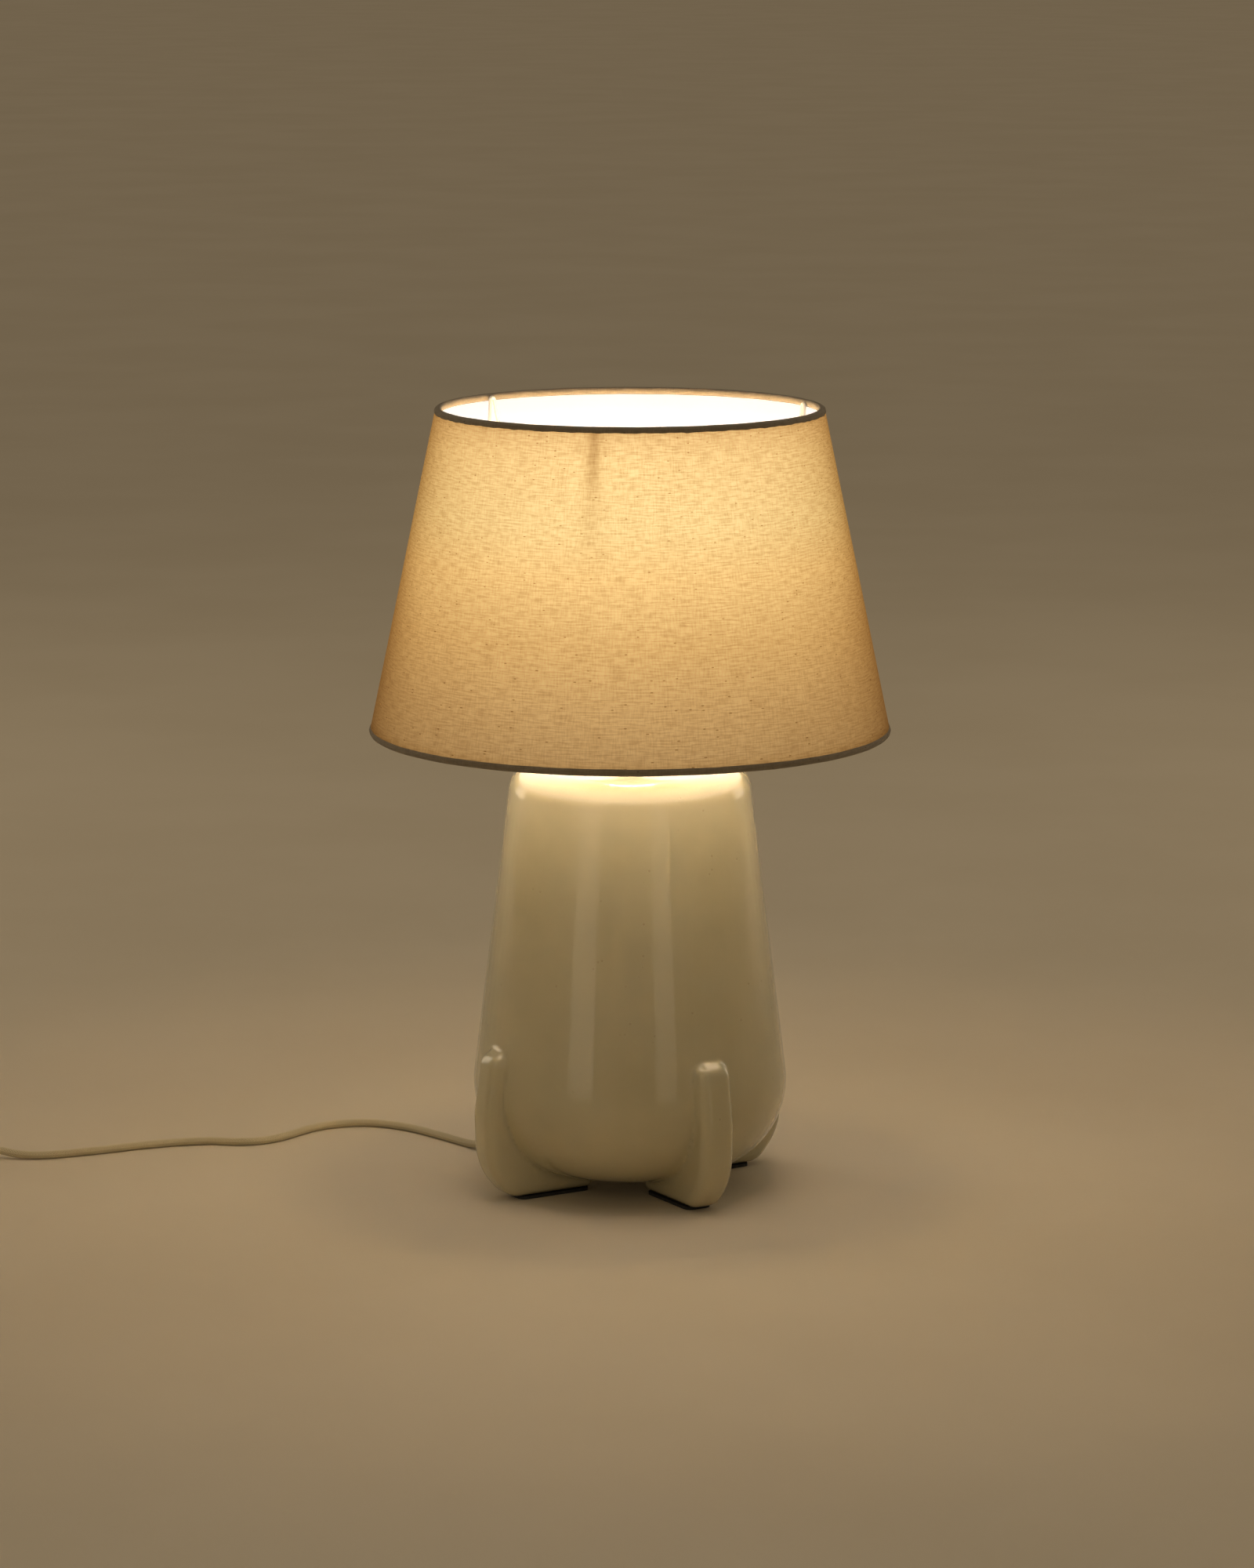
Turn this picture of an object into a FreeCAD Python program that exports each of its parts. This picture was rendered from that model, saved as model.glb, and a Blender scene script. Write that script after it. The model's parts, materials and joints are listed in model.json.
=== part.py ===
import FreeCAD, Part
import math
import os
import re
import Sketcher

# Table lamp with a drum shade, in millimetres.
# +Z is up, the origin is on the table under the axis of the lamp, and -Y is the front.

SIZES = {
    # glazed body: a tapered wall over a round bowl, with four feet
    "body_bottom": 12.0,
    "body_top": 288.5,
    "body_low_corner": 114.3,
    "body_lean": 0.1242,
    "bowl_round": 60.0,
    "shoulder_round": 18.0,
    "wall": 6.0,
    "stem_hole": 5.4,
    # feet: upright fins that hug the bowl
    "foot_angle": 31.0,
    "foot_width": 24.6,
    "foot_toe": 34.5,
    "foot_heel": 98.0,
    "foot_heel_round": 16.0,
    "foot_side_round": 7.5,
    "foot_sole_round": 2.5,
    "ankle_radius": 116.5,
    "ankle_height": 22.5,
    "ankle_round": 44.0,
    "calf_radius": 118.0,
    "calf_height": 60.0,
    "calf_round": 40.0,
    "knee_radius": 112.5,
    "knee_height": 98.5,
    "knee_round": 9.0,
    "crown_radius": 92.0,
    "crown_height": 109.0,
    "pad_height": 2.0,
    "pad_inset": 2.5,
    "pad_heel": 91.0,
    # cord exit low on the bowl
    "exit_angle": 143.0,
    "exit_radius": 92.0,
    "exit_height": 33.0,
    "exit_tilt": 40.5,
    "relief_hole": 6.1,
    "relief_barrel": 6.0,
    "relief_inside": 9.0,
    "relief_length": 24.0,
    "relief_collar": 8.0,
    "relief_collar_thickness": 3.0,
    "relief_collar_round": 1.2,
    "relief_root": 5.6,
    "relief_tip": 4.0,
    "cord_round": 2.75,
    # stack through the top of the body
    "gasket_radius": 18.0,
    "gasket_thickness": 1.0,
    "cap_radius": 24.0,
    "cap_thickness": 3.0,
    "cap_round": 2.0,
    "tube_radius": 5.0,
    "tube_bore": 3.6,
    "tube_bottom": 262.0,
    "tube_top": 303.0,
    "thread_play": 0.05,
    "washer_radius": 20.0,
    "washer_thickness": 2.0,
    "nut_flats": 14.0,
    "nut_height": 6.0,
    # lampholder
    "neck_radius": 8.5,
    "neck_height": 8.0,
    "cup_radius": 19.6,
    "cup_height": 318.0,
    "cup_wall": 2.0,
    "cup_round": 5.0,
    "skirt_top": 348.0,
    "skirt_bore": 16.6,
    "skirt_root": 19.0,
    "thread_crest": 19.7,
    "flange_radius": 23.0,
    "flange_height": 3.3,
    "thread_pitch": 2.5,
    "insert_radius": 16.3,
    "insert_bottom": 308.0,
    "insert_height": 8.0,
    "shell_pitch": 3.63,
    "shell_bottom": 318.0,
    "shell_bore": 12.45,
    "shell_wave": 1.0,
    "shell_wall": 0.4,
    "contact_width": 6.0,
    "contact_thickness": 0.6,
    "contact_reach": 11.0,
    "contact_rise": 3.2,
    "contact_tip": 3.0,
    "terminal_offset": 11.0,
    "terminal_radius": 1.75,
    "terminal_head": 3.0,
    "terminal_head_height": 1.6,
    "core_round": 1.0,
    "core_start": 1.4,
    "core_rise": 1.6,
    "flex_reach": 28.0,
    # ring that clamps the shade
    "clamp_radius": 24.0,
    "clamp_flange_radius": 28.0,
    "clamp_flange_thickness": 2.0,
    "clamp_height": 9.0,
    "clamp_round": 0.8,
    "clamp_notch": 1.4,
    "clamp_notches": 16.0,
    "fit_gap": 0.3,
    # bulb
    "bulb_tip": 320.0,
    "bulb_tip_radius": 4.5,
    "bulb_tip_height": 1.2,
    "bulb_glass_radius": 10.5,
    "bulb_cap_bottom": 324.0,
    "bulb_cap_root": 12.1,
    "bulb_collar_bottom": 346.0,
    "bulb_collar_radius": 14.0,
    "bulb_flare": 0.325,
    "bulb_globe_bottom": 374.0,
    "bulb_globe_top": 430.0,
    "bulb_globe_round": 29.6,
    "bulb_wall": 1.2,
    # shade
    "shade_bottom": 310.4,
    "shade_top": 530.3,
    "shade_bottom_radius": 175.0,
    "shade_top_radius": 130.2,
    "hem_round": 2.5,
    "hem_thickness": 0.8,
    "hem_slit": 20.0,
    "bottom_hem_slit": 115.0,
    "top_hem_slit": 245.0,
    "ring_wire": 1.6,
    "linen_thickness": 0.6,
    "liner_thickness": 0.4,
    # carrier inside the shade
    "fitter_bore": 21.0,
    "fitter_radius": 34.0,
    "fitter_thickness": 2.0,
    "fitter_round": 0.6,
    "arm_wire": 1.3,
    "arm_angle": 19.3,
    "arm_spread": 10.0,
    "arm_bend": 1.8,
    "arm_knee_radius": 118.0,
    "arm_knee_height": 466.0,
    "arm_foot_radius": 30.0,
    "arm_foot_spread": 11.0,
    "arm_foot_run": 9.0,
    "arm_foot_lift": 0.8,
    # cord put away in a coil
    "coil_x": -506.0,
    "coil_y": -24.0,
    "coil_inner": 23.0,
    "coil_outer": 39.6,
    "coil_bottom": 1.0,
    "coil_top": 12.0,
    "tie_width": 9.0,
    "tie_thickness": 0.9,
    "tie_angle": -35.0,
    # rocker switch on the cord
    "switch_x": -481.1,
    "switch_y": 52.5,
    "switch_turn": 10.0,
    "switch_length": 62.0,
    "switch_width": 25.0,
    "switch_split": 7.5,
    "switch_height": 16.0,
    "switch_corner": 9.0,
    "switch_low_edge": 1.2,
    "switch_top_edge": 2.5,
    "switch_wall": 1.8,
    "switch_axis": 7.0,
    "rocker_reach": 9.9,
    "rocker_width": 11.0,
    "rocker_play": 0.5,
    "rocker_pivot": 12.5,
    "rocker_travel": 17.0,
    "rocker_proud": 0.6,
    "rocker_pin": 1.5,
    "rocker_root": 3.0,
    "boss_length": 4.4,
    "boss_width": 6.0,
    "boss_height": 5.0,
    "screw_radius": 1.6,
    "screw_head": 2.6,
    "screw_head_height": 1.5,
    "screw_recess": 0.8,
    "screw_cover": 2.5,
    "screw_x": 22.0,
    "screw_y": 7.0,
    "screw_boss": 3.0,
    "blade_length": 12.0,
    "blade_width": 4.0,
    "blade_height": 1.0,
    # flat two-pin plug
    "plug_x": -538.0,
    "plug_y": -105.0,
    "plug_width": 35.0,
    "plug_face_width": 26.0,
    "plug_height": 14.0,
    "plug_length": 34.0,
    "plug_corner": 5.0,
    "plug_edge": 2.0,
    "plug_shoulder": 15.3,
    "plug_relief_length": 20.0,
    "plug_relief_root": 5.0,
    "plug_relief_tip": 3.9,
    "pin_spacing": 18.0,
    "pin_radius": 2.0,
    "pin_length": 19.0,
    "sleeve_radius": 1.7,
    "sleeve_length": 10.0,
}

TOLERANCE = 0.01
FOOT_NAMES = {0: "right_rear", 90: "left_rear", 180: "left_front", 270: "right_front"}
ARM_NAMES = {0: "right", 120: "left", 240: "front"}

# Where the flex rises inside the body: distance from the axis, and height.
FLEX_RISE = [(38.0, 95.0), (14.0, 142.0), (2.0, 192.0), (0.0, 245.0)]

# The cord lies on the table. It leaves the relief, dips to the table, bows out and back,
# and rises to the switch: distance along X and Y, and height of its middle.
LEAD_ROUTE = [
    (-94.1, 70.9, 10.9),
    (-100.8, 76.9, 6.4),
    (-110.6, 88.5, 2.75),
    (-129.0, 110.0, 2.75),
    (-157.0, 141.0, 2.75),
    (-190.0, 156.5, 2.75),
    (-223.0, 142.0, 2.75),
    (-243.0, 112.0, 2.75),
    (-256.5, 99.5, 2.75),
    (-276.0, 95.5, 2.75),
    (-297.0, 101.0, 2.75),
    (-333.0, 91.0, 2.75),
    (-378.0, 68.0, 2.75),
    (-408.0, 57.0, 2.75),
    (-426.0, 58.4, 3.2),
    (-438.8, 60.0, 6.3),
]
# From the switch the cord drops to the coil's lowest turn, on the left of the coil.
LINK_ROUTE = [
    (-522.4, 45.2, 6.8),
    (-532.0, 39.7, 5.8),
    (-539.0, 31.3, 4.7),
    (-542.8, 21.0, 3.95),
    (-543.2, 5.5, 3.75),
    (-542.8, -9.5, 3.75),
]
# From the coil's uppermost turn it drops a little on its way to the plug.
TAIL_ROUTE = [
    (-542.8, -24.0, 9.25),
    (-541.9, -44.0, 7.2),
    (-538.0, -66.0, 7.0),
]

doc = FreeCAD.newDocument("table_lamp")
sheet = doc.addObject("Spreadsheet::Sheet", "Sizes")
nodes = []


def fill_sheet():
    for row, (alias, number) in enumerate(SIZES.items(), start=1):
        sheet.set(f"A{row}", alias.replace("_", " "))
        sheet.set(f"B{row}", str(number))
        sheet.setAlias(f"B{row}", alias)
    doc.recompute()


def bound(text):
    """The text of an expression, with each size word pointing at its cell."""
    return re.sub(r"[a-z_]+", lambda m: f"Sizes.{m[0]}" if m[0] in SIZES else m[0], str(text))


def value(text):
    return float(sheet.evalExpression(bound(text)))


def bind(thing, **sizes):
    for name, text in sizes.items():
        thing.setExpression(name, bound(text))


def turned_placement(x=0.0, y=0.0, z=0.0, angle=0.0):
    turn = FreeCAD.Rotation(FreeCAD.Vector(0, 0, 1), angle)
    return FreeCAD.Placement(FreeCAD.Vector(x, y, z), turn)


def keep(thing, label):
    """Names a finished sub-part and puts it on the list of files."""
    thing.Label = label
    nodes.append(thing)
    return thing


# ---- sketches -------------------------------------------------------------------------


def place_point(sketch, geometry, point, corner):
    """Fixes a point at the corner's two coordinates."""
    for kind, axis, text in (("DistanceX", -2, corner[0]), ("DistanceY", -1, corner[1])):
        if str(text) == "0":
            sketch.addConstraint(Sketcher.Constraint("PointOnObject", geometry, point, axis))
            continue
        rule = Sketcher.Constraint(kind, -1, 1, geometry, point, value(text))
        index = sketch.addConstraint(rule)
        sketch.setExpression(f"Constraints[{index}]", bound(text))


def rounding(before, corner, after, radius):
    """Where an arc of this radius starts and ends at a corner, and the arc."""
    to_before = (before - corner).normalize()
    to_after = (after - corner).normalize()
    half = to_before.getAngle(to_after) / 2
    reach = radius / math.tan(half)
    start = corner + to_before * reach
    end = corner + to_after * reach
    middle = (to_before + to_after).normalize()
    centre = corner + middle * (radius / math.sin(half))
    top = centre - middle * radius
    return start, end, top


def draw_outline(sketch, corners):
    """Draws a closed outline through (x, y) corners, rounded where a radius is given."""
    spots = [FreeCAD.Vector(value(c[0]), value(c[1]), 0) for c in corners]
    count = len(corners)
    trims = []
    for i, corner in enumerate(corners):
        if len(corner) == 3:
            around = (spots[i - 1], spots[i], spots[(i + 1) % count])
            trims.append(rounding(*around, value(corner[2])))
        else:
            trims.append((spots[i], spots[i], None))
    lines = [
        sketch.addGeometry(Part.LineSegment(trims[i][1], trims[(i + 1) % count][0]), False)
        for i in range(count)
    ]
    for i, corner in enumerate(corners):
        before, after = lines[i - 1], lines[i]
        start, end, top = trims[i]
        if top is None:
            sketch.addConstraint(Sketcher.Constraint("Coincident", before, 2, after, 1))
            place_point(sketch, after, 1, corner)
            continue
        arc = sketch.addGeometry(Part.Arc(start, top, end), False)
        points = (sketch.getPoint(arc, 1), sketch.getPoint(arc, 2))
        first = 1 if points[0].distanceToPoint(start) < points[1].distanceToPoint(start) else 2
        sketch.addConstraint(Sketcher.Constraint("Tangent", before, 2, arc, first))
        sketch.addConstraint(Sketcher.Constraint("Tangent", arc, 3 - first, after, 1))
        index = sketch.addConstraint(Sketcher.Constraint("Radius", arc, value(corner[2])))
        sketch.setExpression(f"Constraints[{index}]", bound(corner[2]))
        mark = sketch.addGeometry(Part.Point(spots[i]), True)
        sketch.addConstraint(Sketcher.Constraint("PointOnObject", mark, 1, before))
        sketch.addConstraint(Sketcher.Constraint("PointOnObject", mark, 1, after))
        place_point(sketch, mark, 1, corner)


def sketch_on(body, role, corners, name, offset=None):
    sketch = body.newObject("Sketcher::SketchObject", name)
    plane = next(f for f in body.Origin.OriginFeatures if f.Role == role)
    sketch.AttachmentSupport = [(plane, "")]
    sketch.MapMode = "FlatFace"
    if offset:
        sketch.setExpression("AttachmentOffset.Base.z", bound(offset))
    doc.recompute()
    draw_outline(sketch, corners)
    return sketch


# ---- ways of making a piece -----------------------------------------------------------


def turned(name, corners):
    """A body of revolution: corners are (radius, height) and a rounding."""
    body = doc.addObject("PartDesign::Body", name)
    sketch = sketch_on(body, "XZ_Plane", corners, name + "_section")
    feature = body.newObject("PartDesign::Revolution", name + "_turned")
    feature.Profile = sketch
    feature.ReferenceAxis = (sketch, ["V_Axis"])
    feature.Angle = 360
    return body


def extruded(name, role, corners, length, middle=False, offset=None):
    """A straight extrusion of an outline drawn on one of the body's own planes."""
    body = doc.addObject("PartDesign::Body", name)
    sketch = sketch_on(body, role, corners, name + "_outline", offset)
    feature = body.newObject("PartDesign::Pad", name + "_pad")
    feature.Profile = sketch
    feature.setExpression("Length", bound(length))
    feature.SideType = "Symmetric" if middle else "One side"
    doc.recompute()
    return body


def rounded_edges(body, edges, radius):
    """Adds a fillet on those edges of the body's last feature that the test picks."""
    base = body.Tip
    names = [f"Edge{i}" for i, edge in enumerate(base.Shape.Edges, start=1) if edges(edge)]
    fillet = body.newObject("PartDesign::Fillet", body.Name + "_fillet")
    fillet.Base = (base, names)
    fillet.setExpression("Radius", bound(radius))
    doc.recompute()


def rectangle(length, width, corner=None):
    signs = ((-1, -1), (1, -1), (1, 1), (-1, 1))
    spots = [(f"{sx} * ({length}) / 2", f"{sy} * ({width}) / 2") for sx, sy in signs]
    return [(*spot, corner) if corner else spot for spot in spots]


def cylinder(name, radius, height, bottom, x="0", y="0"):
    piece = doc.addObject("Part::Cylinder", name)
    bind(piece, Radius=radius, Height=height)
    for axis, text in (("x", x), ("y", y), ("z", bottom)):
        piece.setExpression(f"Placement.Base.{axis}", bound(text))
    return piece


def joined(name, pieces):
    group = doc.addObject("Part::MultiFuse", name)
    group.Shapes = pieces
    return group


def cut(name, base, tool):
    piece = doc.addObject("Part::Cut", name)
    piece.Base = base
    piece.Tool = tool
    return piece


def smooth_path(points, bend=None):
    """Straight runs joined by tangent arcs, each as large as its two runs allow."""
    spots = [FreeCAD.Vector(*p) for p in points]
    edges = []
    radii = []
    last = spots[0]
    for before, spot, after in zip(spots, spots[1:], spots[2:]):
        shorter = min(before.distanceToPoint(spot), spot.distanceToPoint(after))
        turn = (spot - before).getAngle(after - spot)
        radius = 0.45 * shorter / math.tan(turn / 2)
        if bend and turn > math.pi / 2:
            radius = bend
        start, end, top = rounding(before, spot, after, radius)
        edges += [Part.LineSegment(last, start).toShape(), Part.Arc(start, top, end).toShape()]
        radii.append(radius)
        last = end
    edges.append(Part.LineSegment(last, spots[-1]).toShape())
    return Part.Wire(edges), radii


def tube(label, points, radius, bend=None):
    """A round bar along a smooth path, as a shape of its own."""
    path, radii = smooth_path(points, bend)
    start = FreeCAD.Vector(*points[0])
    along = FreeCAD.Vector(*points[1]) - start
    ring = Part.Wire([Part.Circle(start, along, radius).toShape()])
    shape = path.makePipeShell([ring], True, False)
    expected = math.pi * radius**2 * path.Length
    assert abs(shape.Volume / expected - 1) < 0.01, label
    print(f"{label}: length {path.Length:.1f}, radii {[round(r) for r in radii]}")
    piece = doc.addObject("Part::Feature", label)
    piece.Shape = shape
    return piece


# ---- the body and its feet ------------------------------------------------------------


def wall_radius(height, inset="0"):
    """Radius of the tapered wall at a height, moved inwards square to the wall."""
    outside = f"body_low_corner - body_lean * ({height} - body_bottom)"
    return f"{outside} - ({inset}) * sqrt(1 + body_lean * body_lean)"


def body_form(name, inset):
    low = f"body_bottom + {inset}"
    high = f"body_top - {inset}"
    return turned(name, [
        ("0", low),
        (wall_radius(f"({low})", inset), low, f"bowl_round - {inset}"),
        (wall_radius(f"({high})", inset), high, f"shoulder_round - {inset}"),
        ("0", high),
    ])


def foot_form(name, angle):
    """An upright fin: a flat sole, a rounded heel, and a sloping knob that meets the wall."""
    body = extruded(name, "XZ_Plane", [
        ("foot_toe", "pad_height"),
        ("foot_heel", "pad_height", "foot_heel_round"),
        ("ankle_radius", "ankle_height", "ankle_round"),
        ("calf_radius", "calf_height", "calf_round"),
        ("knee_radius", "knee_height", "knee_round"),
        ("crown_radius", "crown_height", "knee_round"),
        ("foot_toe", "crown_height", "knee_round"),
    ], "foot_width", middle=True)

    def on_sole(edge):
        return edge.BoundBox.ZMax < value("pad_height") + TOLERANCE

    def on_side(edge):
        return edge.BoundBox.YLength < TOLERANCE and not on_sole(edge)

    rounded_edges(body, on_side, "foot_side_round")
    rounded_edges(body, on_sole, "foot_sole_round")
    body.Placement = turned_placement(angle=value("foot_angle") + angle)
    return body


def exit_placement():
    """Local +Z points out of the cord's hole, outwards and down."""
    outwards = FreeCAD.Rotation(FreeCAD.Vector(0, 0, 1), value("exit_angle"))
    down = FreeCAD.Rotation(FreeCAD.Vector(0, 1, 0), 90 + value("exit_tilt"))
    spot = outwards.multVec(FreeCAD.Vector(value("exit_radius"), 0, value("exit_height")))
    return FreeCAD.Placement(spot, outwards * down)


def make_body():
    feet = [foot_form(f"foot_form_{angle}", angle) for angle in FOOT_NAMES]
    outside = joined("body_outside", [body_form("body_skin", "0"), *feet])
    cord_hole = doc.addObject("Part::Cylinder", "cord_hole")
    bind(cord_hole, Radius="relief_hole", Height="exit_height * 2")
    cord_hole.Placement = exit_placement()
    cord_hole.Placement.Base = exit_placement().multVec(FreeCAD.Vector(0, 0, -value("exit_height")))
    stem_hole = cylinder("stem_bore", "stem_hole", "3 * wall", "body_top - 2 * wall")
    hollow = joined("body_hollow", [body_form("body_inside", "wall"), cord_hole, stem_hole])
    keep(cut("ceramic_cut", outside, hollow), "ceramic_body")


def make_pads():
    for angle, side in FOOT_NAMES.items():
        length = "pad_heel - foot_toe - pad_inset"
        middle = "(pad_heel + foot_toe + pad_inset) / 2"
        outline = [
            (f"{middle} + ({x})", y, r)
            for x, y, r in rectangle(f"({length})", "foot_width - 2 * pad_inset",
                                     "foot_side_round - pad_inset")
        ]
        pad = extruded(f"pad_{side}_body", "XY_Plane", outline, "pad_height")
        pad.Placement = turned_placement(angle=value("foot_angle") + angle)
        keep(pad, f"foot_pad_{side}")


# ---- cord exit and the stack through the top ------------------------------------------


def make_relief():
    relief = turned("relief_body", [
        ("cord_round", "-relief_inside"),
        ("relief_barrel", "-relief_inside"),
        ("relief_barrel", "0"),
        ("relief_collar", "0"),
        ("relief_collar", "relief_collar_thickness", "relief_collar_round"),
        ("relief_root", "relief_collar_thickness"),
        ("relief_tip", "relief_length"),
        ("cord_round", "relief_length"),
    ])
    relief.Placement = exit_placement()
    keep(relief, "cord_relief")


def make_stack():
    cap_bottom = "body_top + gasket_thickness"
    cap_top = f"{cap_bottom} + cap_thickness"
    washer_top = "body_top - wall"
    keep(turned("gasket_body", [
        ("stem_hole", "body_top"),
        ("gasket_radius", "body_top"),
        ("gasket_radius", cap_bottom),
        ("stem_hole", cap_bottom),
    ]), "cap_gasket")
    keep(turned("cap_body", [
        ("stem_hole", cap_bottom),
        ("cap_radius", cap_bottom),
        ("cap_radius", cap_top, "cap_round"),
        ("stem_hole", cap_top),
    ]), "top_cap")
    keep(turned("tube_body", [
        ("tube_bore", "tube_bottom"),
        ("tube_radius", "tube_bottom"),
        ("tube_radius", "tube_top"),
        ("tube_bore", "tube_top"),
    ]), "threaded_tube")
    keep(turned("washer_body", [
        ("stem_hole", f"{washer_top} - washer_thickness"),
        ("washer_radius", f"{washer_top} - washer_thickness"),
        ("washer_radius", washer_top),
        ("stem_hole", washer_top),
    ]), "inner_washer")
    nut = doc.addObject("Part::Prism", "nut_blank")
    nut.Polygon = 6
    bind(nut, Circumradius="nut_flats / sqrt(3)", Height="nut_height")
    nut_bottom = f"{washer_top} - washer_thickness - nut_height"
    nut.setExpression("Placement.Base.z", bound(nut_bottom))
    bore = cylinder("nut_bore", "tube_radius + thread_play", "nut_height", nut_bottom)
    keep(cut("nut_cut", nut, bore), "lock_nut")


# ---- lampholder -----------------------------------------------------------------------


def ridges(radius_out, radius_in, bottom, pitch, count):
    """Corners up the side of a ring-shaped thread: crest, crest, root, root."""
    corners = []
    for i in range(count):
        start = f"{bottom} + {i} * {pitch}"
        corners += [
            (radius_in, start),
            (radius_out, f"{start} + 0.25 * {pitch}"),
            (radius_out, f"{start} + 0.5 * {pitch}"),
            (radius_in, f"{start} + 0.75 * {pitch}"),
        ]
    return corners


def make_holder():
    floor = "body_top + gasket_thickness + cap_thickness"
    shelf = f"{floor} + neck_height"
    keep(turned("cup_body", [
        ("tube_radius + thread_play", floor),
        ("neck_radius", floor),
        ("neck_radius", shelf),
        ("cup_radius", shelf, "cup_round"),
        ("cup_radius", "cup_height"),
        ("cup_radius - cup_wall", "cup_height"),
        ("cup_radius - cup_wall", f"{shelf} + cup_wall", "cup_round - cup_wall"),
        ("tube_radius + thread_play", f"{shelf} + cup_wall"),
    ]), "holder_cup")
    thread = "cup_height + flange_height + fitter_thickness + 2 * fit_gap"
    keep(turned("skirt_body", [
        ("skirt_bore", "cup_height"),
        ("flange_radius", "cup_height"),
        ("flange_radius", "cup_height + flange_height"),
        ("skirt_root", "cup_height + flange_height"),
        *ridges("thread_crest", "skirt_root", thread, "thread_pitch", 8),
        ("skirt_root", "skirt_top"),
        ("skirt_bore", "skirt_top"),
    ]), "holder_skirt")
    insert = turned("insert_body", [
        ("0", "insert_bottom"),
        ("insert_radius", "insert_bottom"),
        ("insert_radius", "insert_bottom + insert_height"),
        ("0", "insert_bottom + insert_height"),
    ])
    holes = [
        cylinder(f"terminal_hole_{side}", "terminal_radius + thread_play", "2 * insert_height",
                 "insert_bottom - 1", f"{side} * terminal_offset")
        for side in (-1, 1)
    ]
    keep(cut("insert_cut", insert, joined("terminal_holes", holes)), "holder_insert")
    screws = []
    for side in (-1, 1):
        x = f"{side} * terminal_offset"
        head_bottom = "insert_bottom - terminal_head_height"
        shank = cylinder(f"terminal_shank_{side}", "terminal_radius", "insert_height - 1",
                         "insert_bottom", x)
        head = cylinder(f"terminal_top_{side}", "terminal_head", "terminal_head_height",
                        head_bottom, x)
        screws += [shank, head]
    keep(joined("terminal_set", screws), "terminal_screws")


def wavy_shell(name, bore, bottom, count):
    """A thin threaded shell: the same waves inside and outside, one wall apart."""
    crest = f"{bore} + shell_wave"
    inside = ridges(crest, bore, bottom, "shell_pitch", count)
    outside = [(f"{r} + shell_wall", z) for r, z in reversed(inside)]
    return turned(name, inside + outside)


def make_contacts():
    keep(wavy_shell("shell_body", "shell_bore", "shell_bottom", 7), "screw_shell")
    seat = "insert_bottom + insert_height"
    top = f"{seat} + contact_rise"
    tongue = extruded("contact_body", "XZ_Plane", [
        ("-contact_reach", seat),
        ("-contact_reach / 2", seat),
        ("contact_tip", top),
        ("contact_tip", f"{top} + contact_thickness"),
        ("-contact_reach / 2 - contact_thickness / 2", f"{seat} + contact_thickness"),
        ("-contact_reach", f"{seat} + contact_thickness"),
    ], "contact_width", middle=True)
    keep(tongue, "centre_contact")


def make_wires():
    """The flex inside the lamp, and its two cores up to the terminals."""
    inside = exit_placement()
    tip = inside.multVec(FreeCAD.Vector(0, 0, value("relief_length")))
    back = inside.multVec(FreeCAD.Vector(0, 0, -value("relief_inside + flex_reach")))
    turn = FreeCAD.Rotation(FreeCAD.Vector(0, 0, 1), value("exit_angle"))
    rise = [turn.multVec(FreeCAD.Vector(r, 0, z)) for r, z in FLEX_RISE]
    top = value("tube_top")
    points = [tip, back, *rise, FreeCAD.Vector(0, 0, top)]
    keep(tube("flex", points, value("cord_round")), "inner_flex")
    for side, core in ((-1, "core_live"), (1, "core_neutral")):
        reach = side * value("terminal_offset")
        head = value("insert_bottom - terminal_head_height - core_round")
        start = side * value("core_start")
        bend = (reach * 0.7, 0, head - 0.3)
        route = [(start, 0, top), (start, 0, top + value("core_rise")), bend, (reach, 0, head)]
        keep(tube(core + "_wire", route, value("core_round")), core)


def make_clamp():
    bottom = "cup_height + flange_height + fitter_thickness + 2 * fit_gap"
    ring = turned("clamp_blank", [
        ("thread_crest + 2 * thread_play", bottom),
        ("clamp_flange_radius", bottom, "clamp_round"),
        ("clamp_flange_radius", f"{bottom} + clamp_flange_thickness", "clamp_round"),
        ("clamp_radius", f"{bottom} + clamp_flange_thickness"),
        ("clamp_radius", f"{bottom} + clamp_height", "clamp_round"),
        ("thread_crest + 2 * thread_play", f"{bottom} + clamp_height"),
    ])
    doc.recompute()
    count = int(value("clamp_notches"))
    notches = []
    for i in range(count):
        angle = 2 * math.pi * i / count
        x = f"(clamp_radius + 0.4) * {math.cos(angle):.6f}"
        y = f"(clamp_radius + 0.4) * {math.sin(angle):.6f}"
        low = f"{bottom} + clamp_flange_thickness"
        notches.append(cylinder(f"notch_{i}", "clamp_notch", "clamp_height", low, x, y))
    keep(cut("clamp_cut", ring, joined("clamp_grip", notches)), "shade_clamp_ring")


# ---- bulb -----------------------------------------------------------------------------


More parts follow.
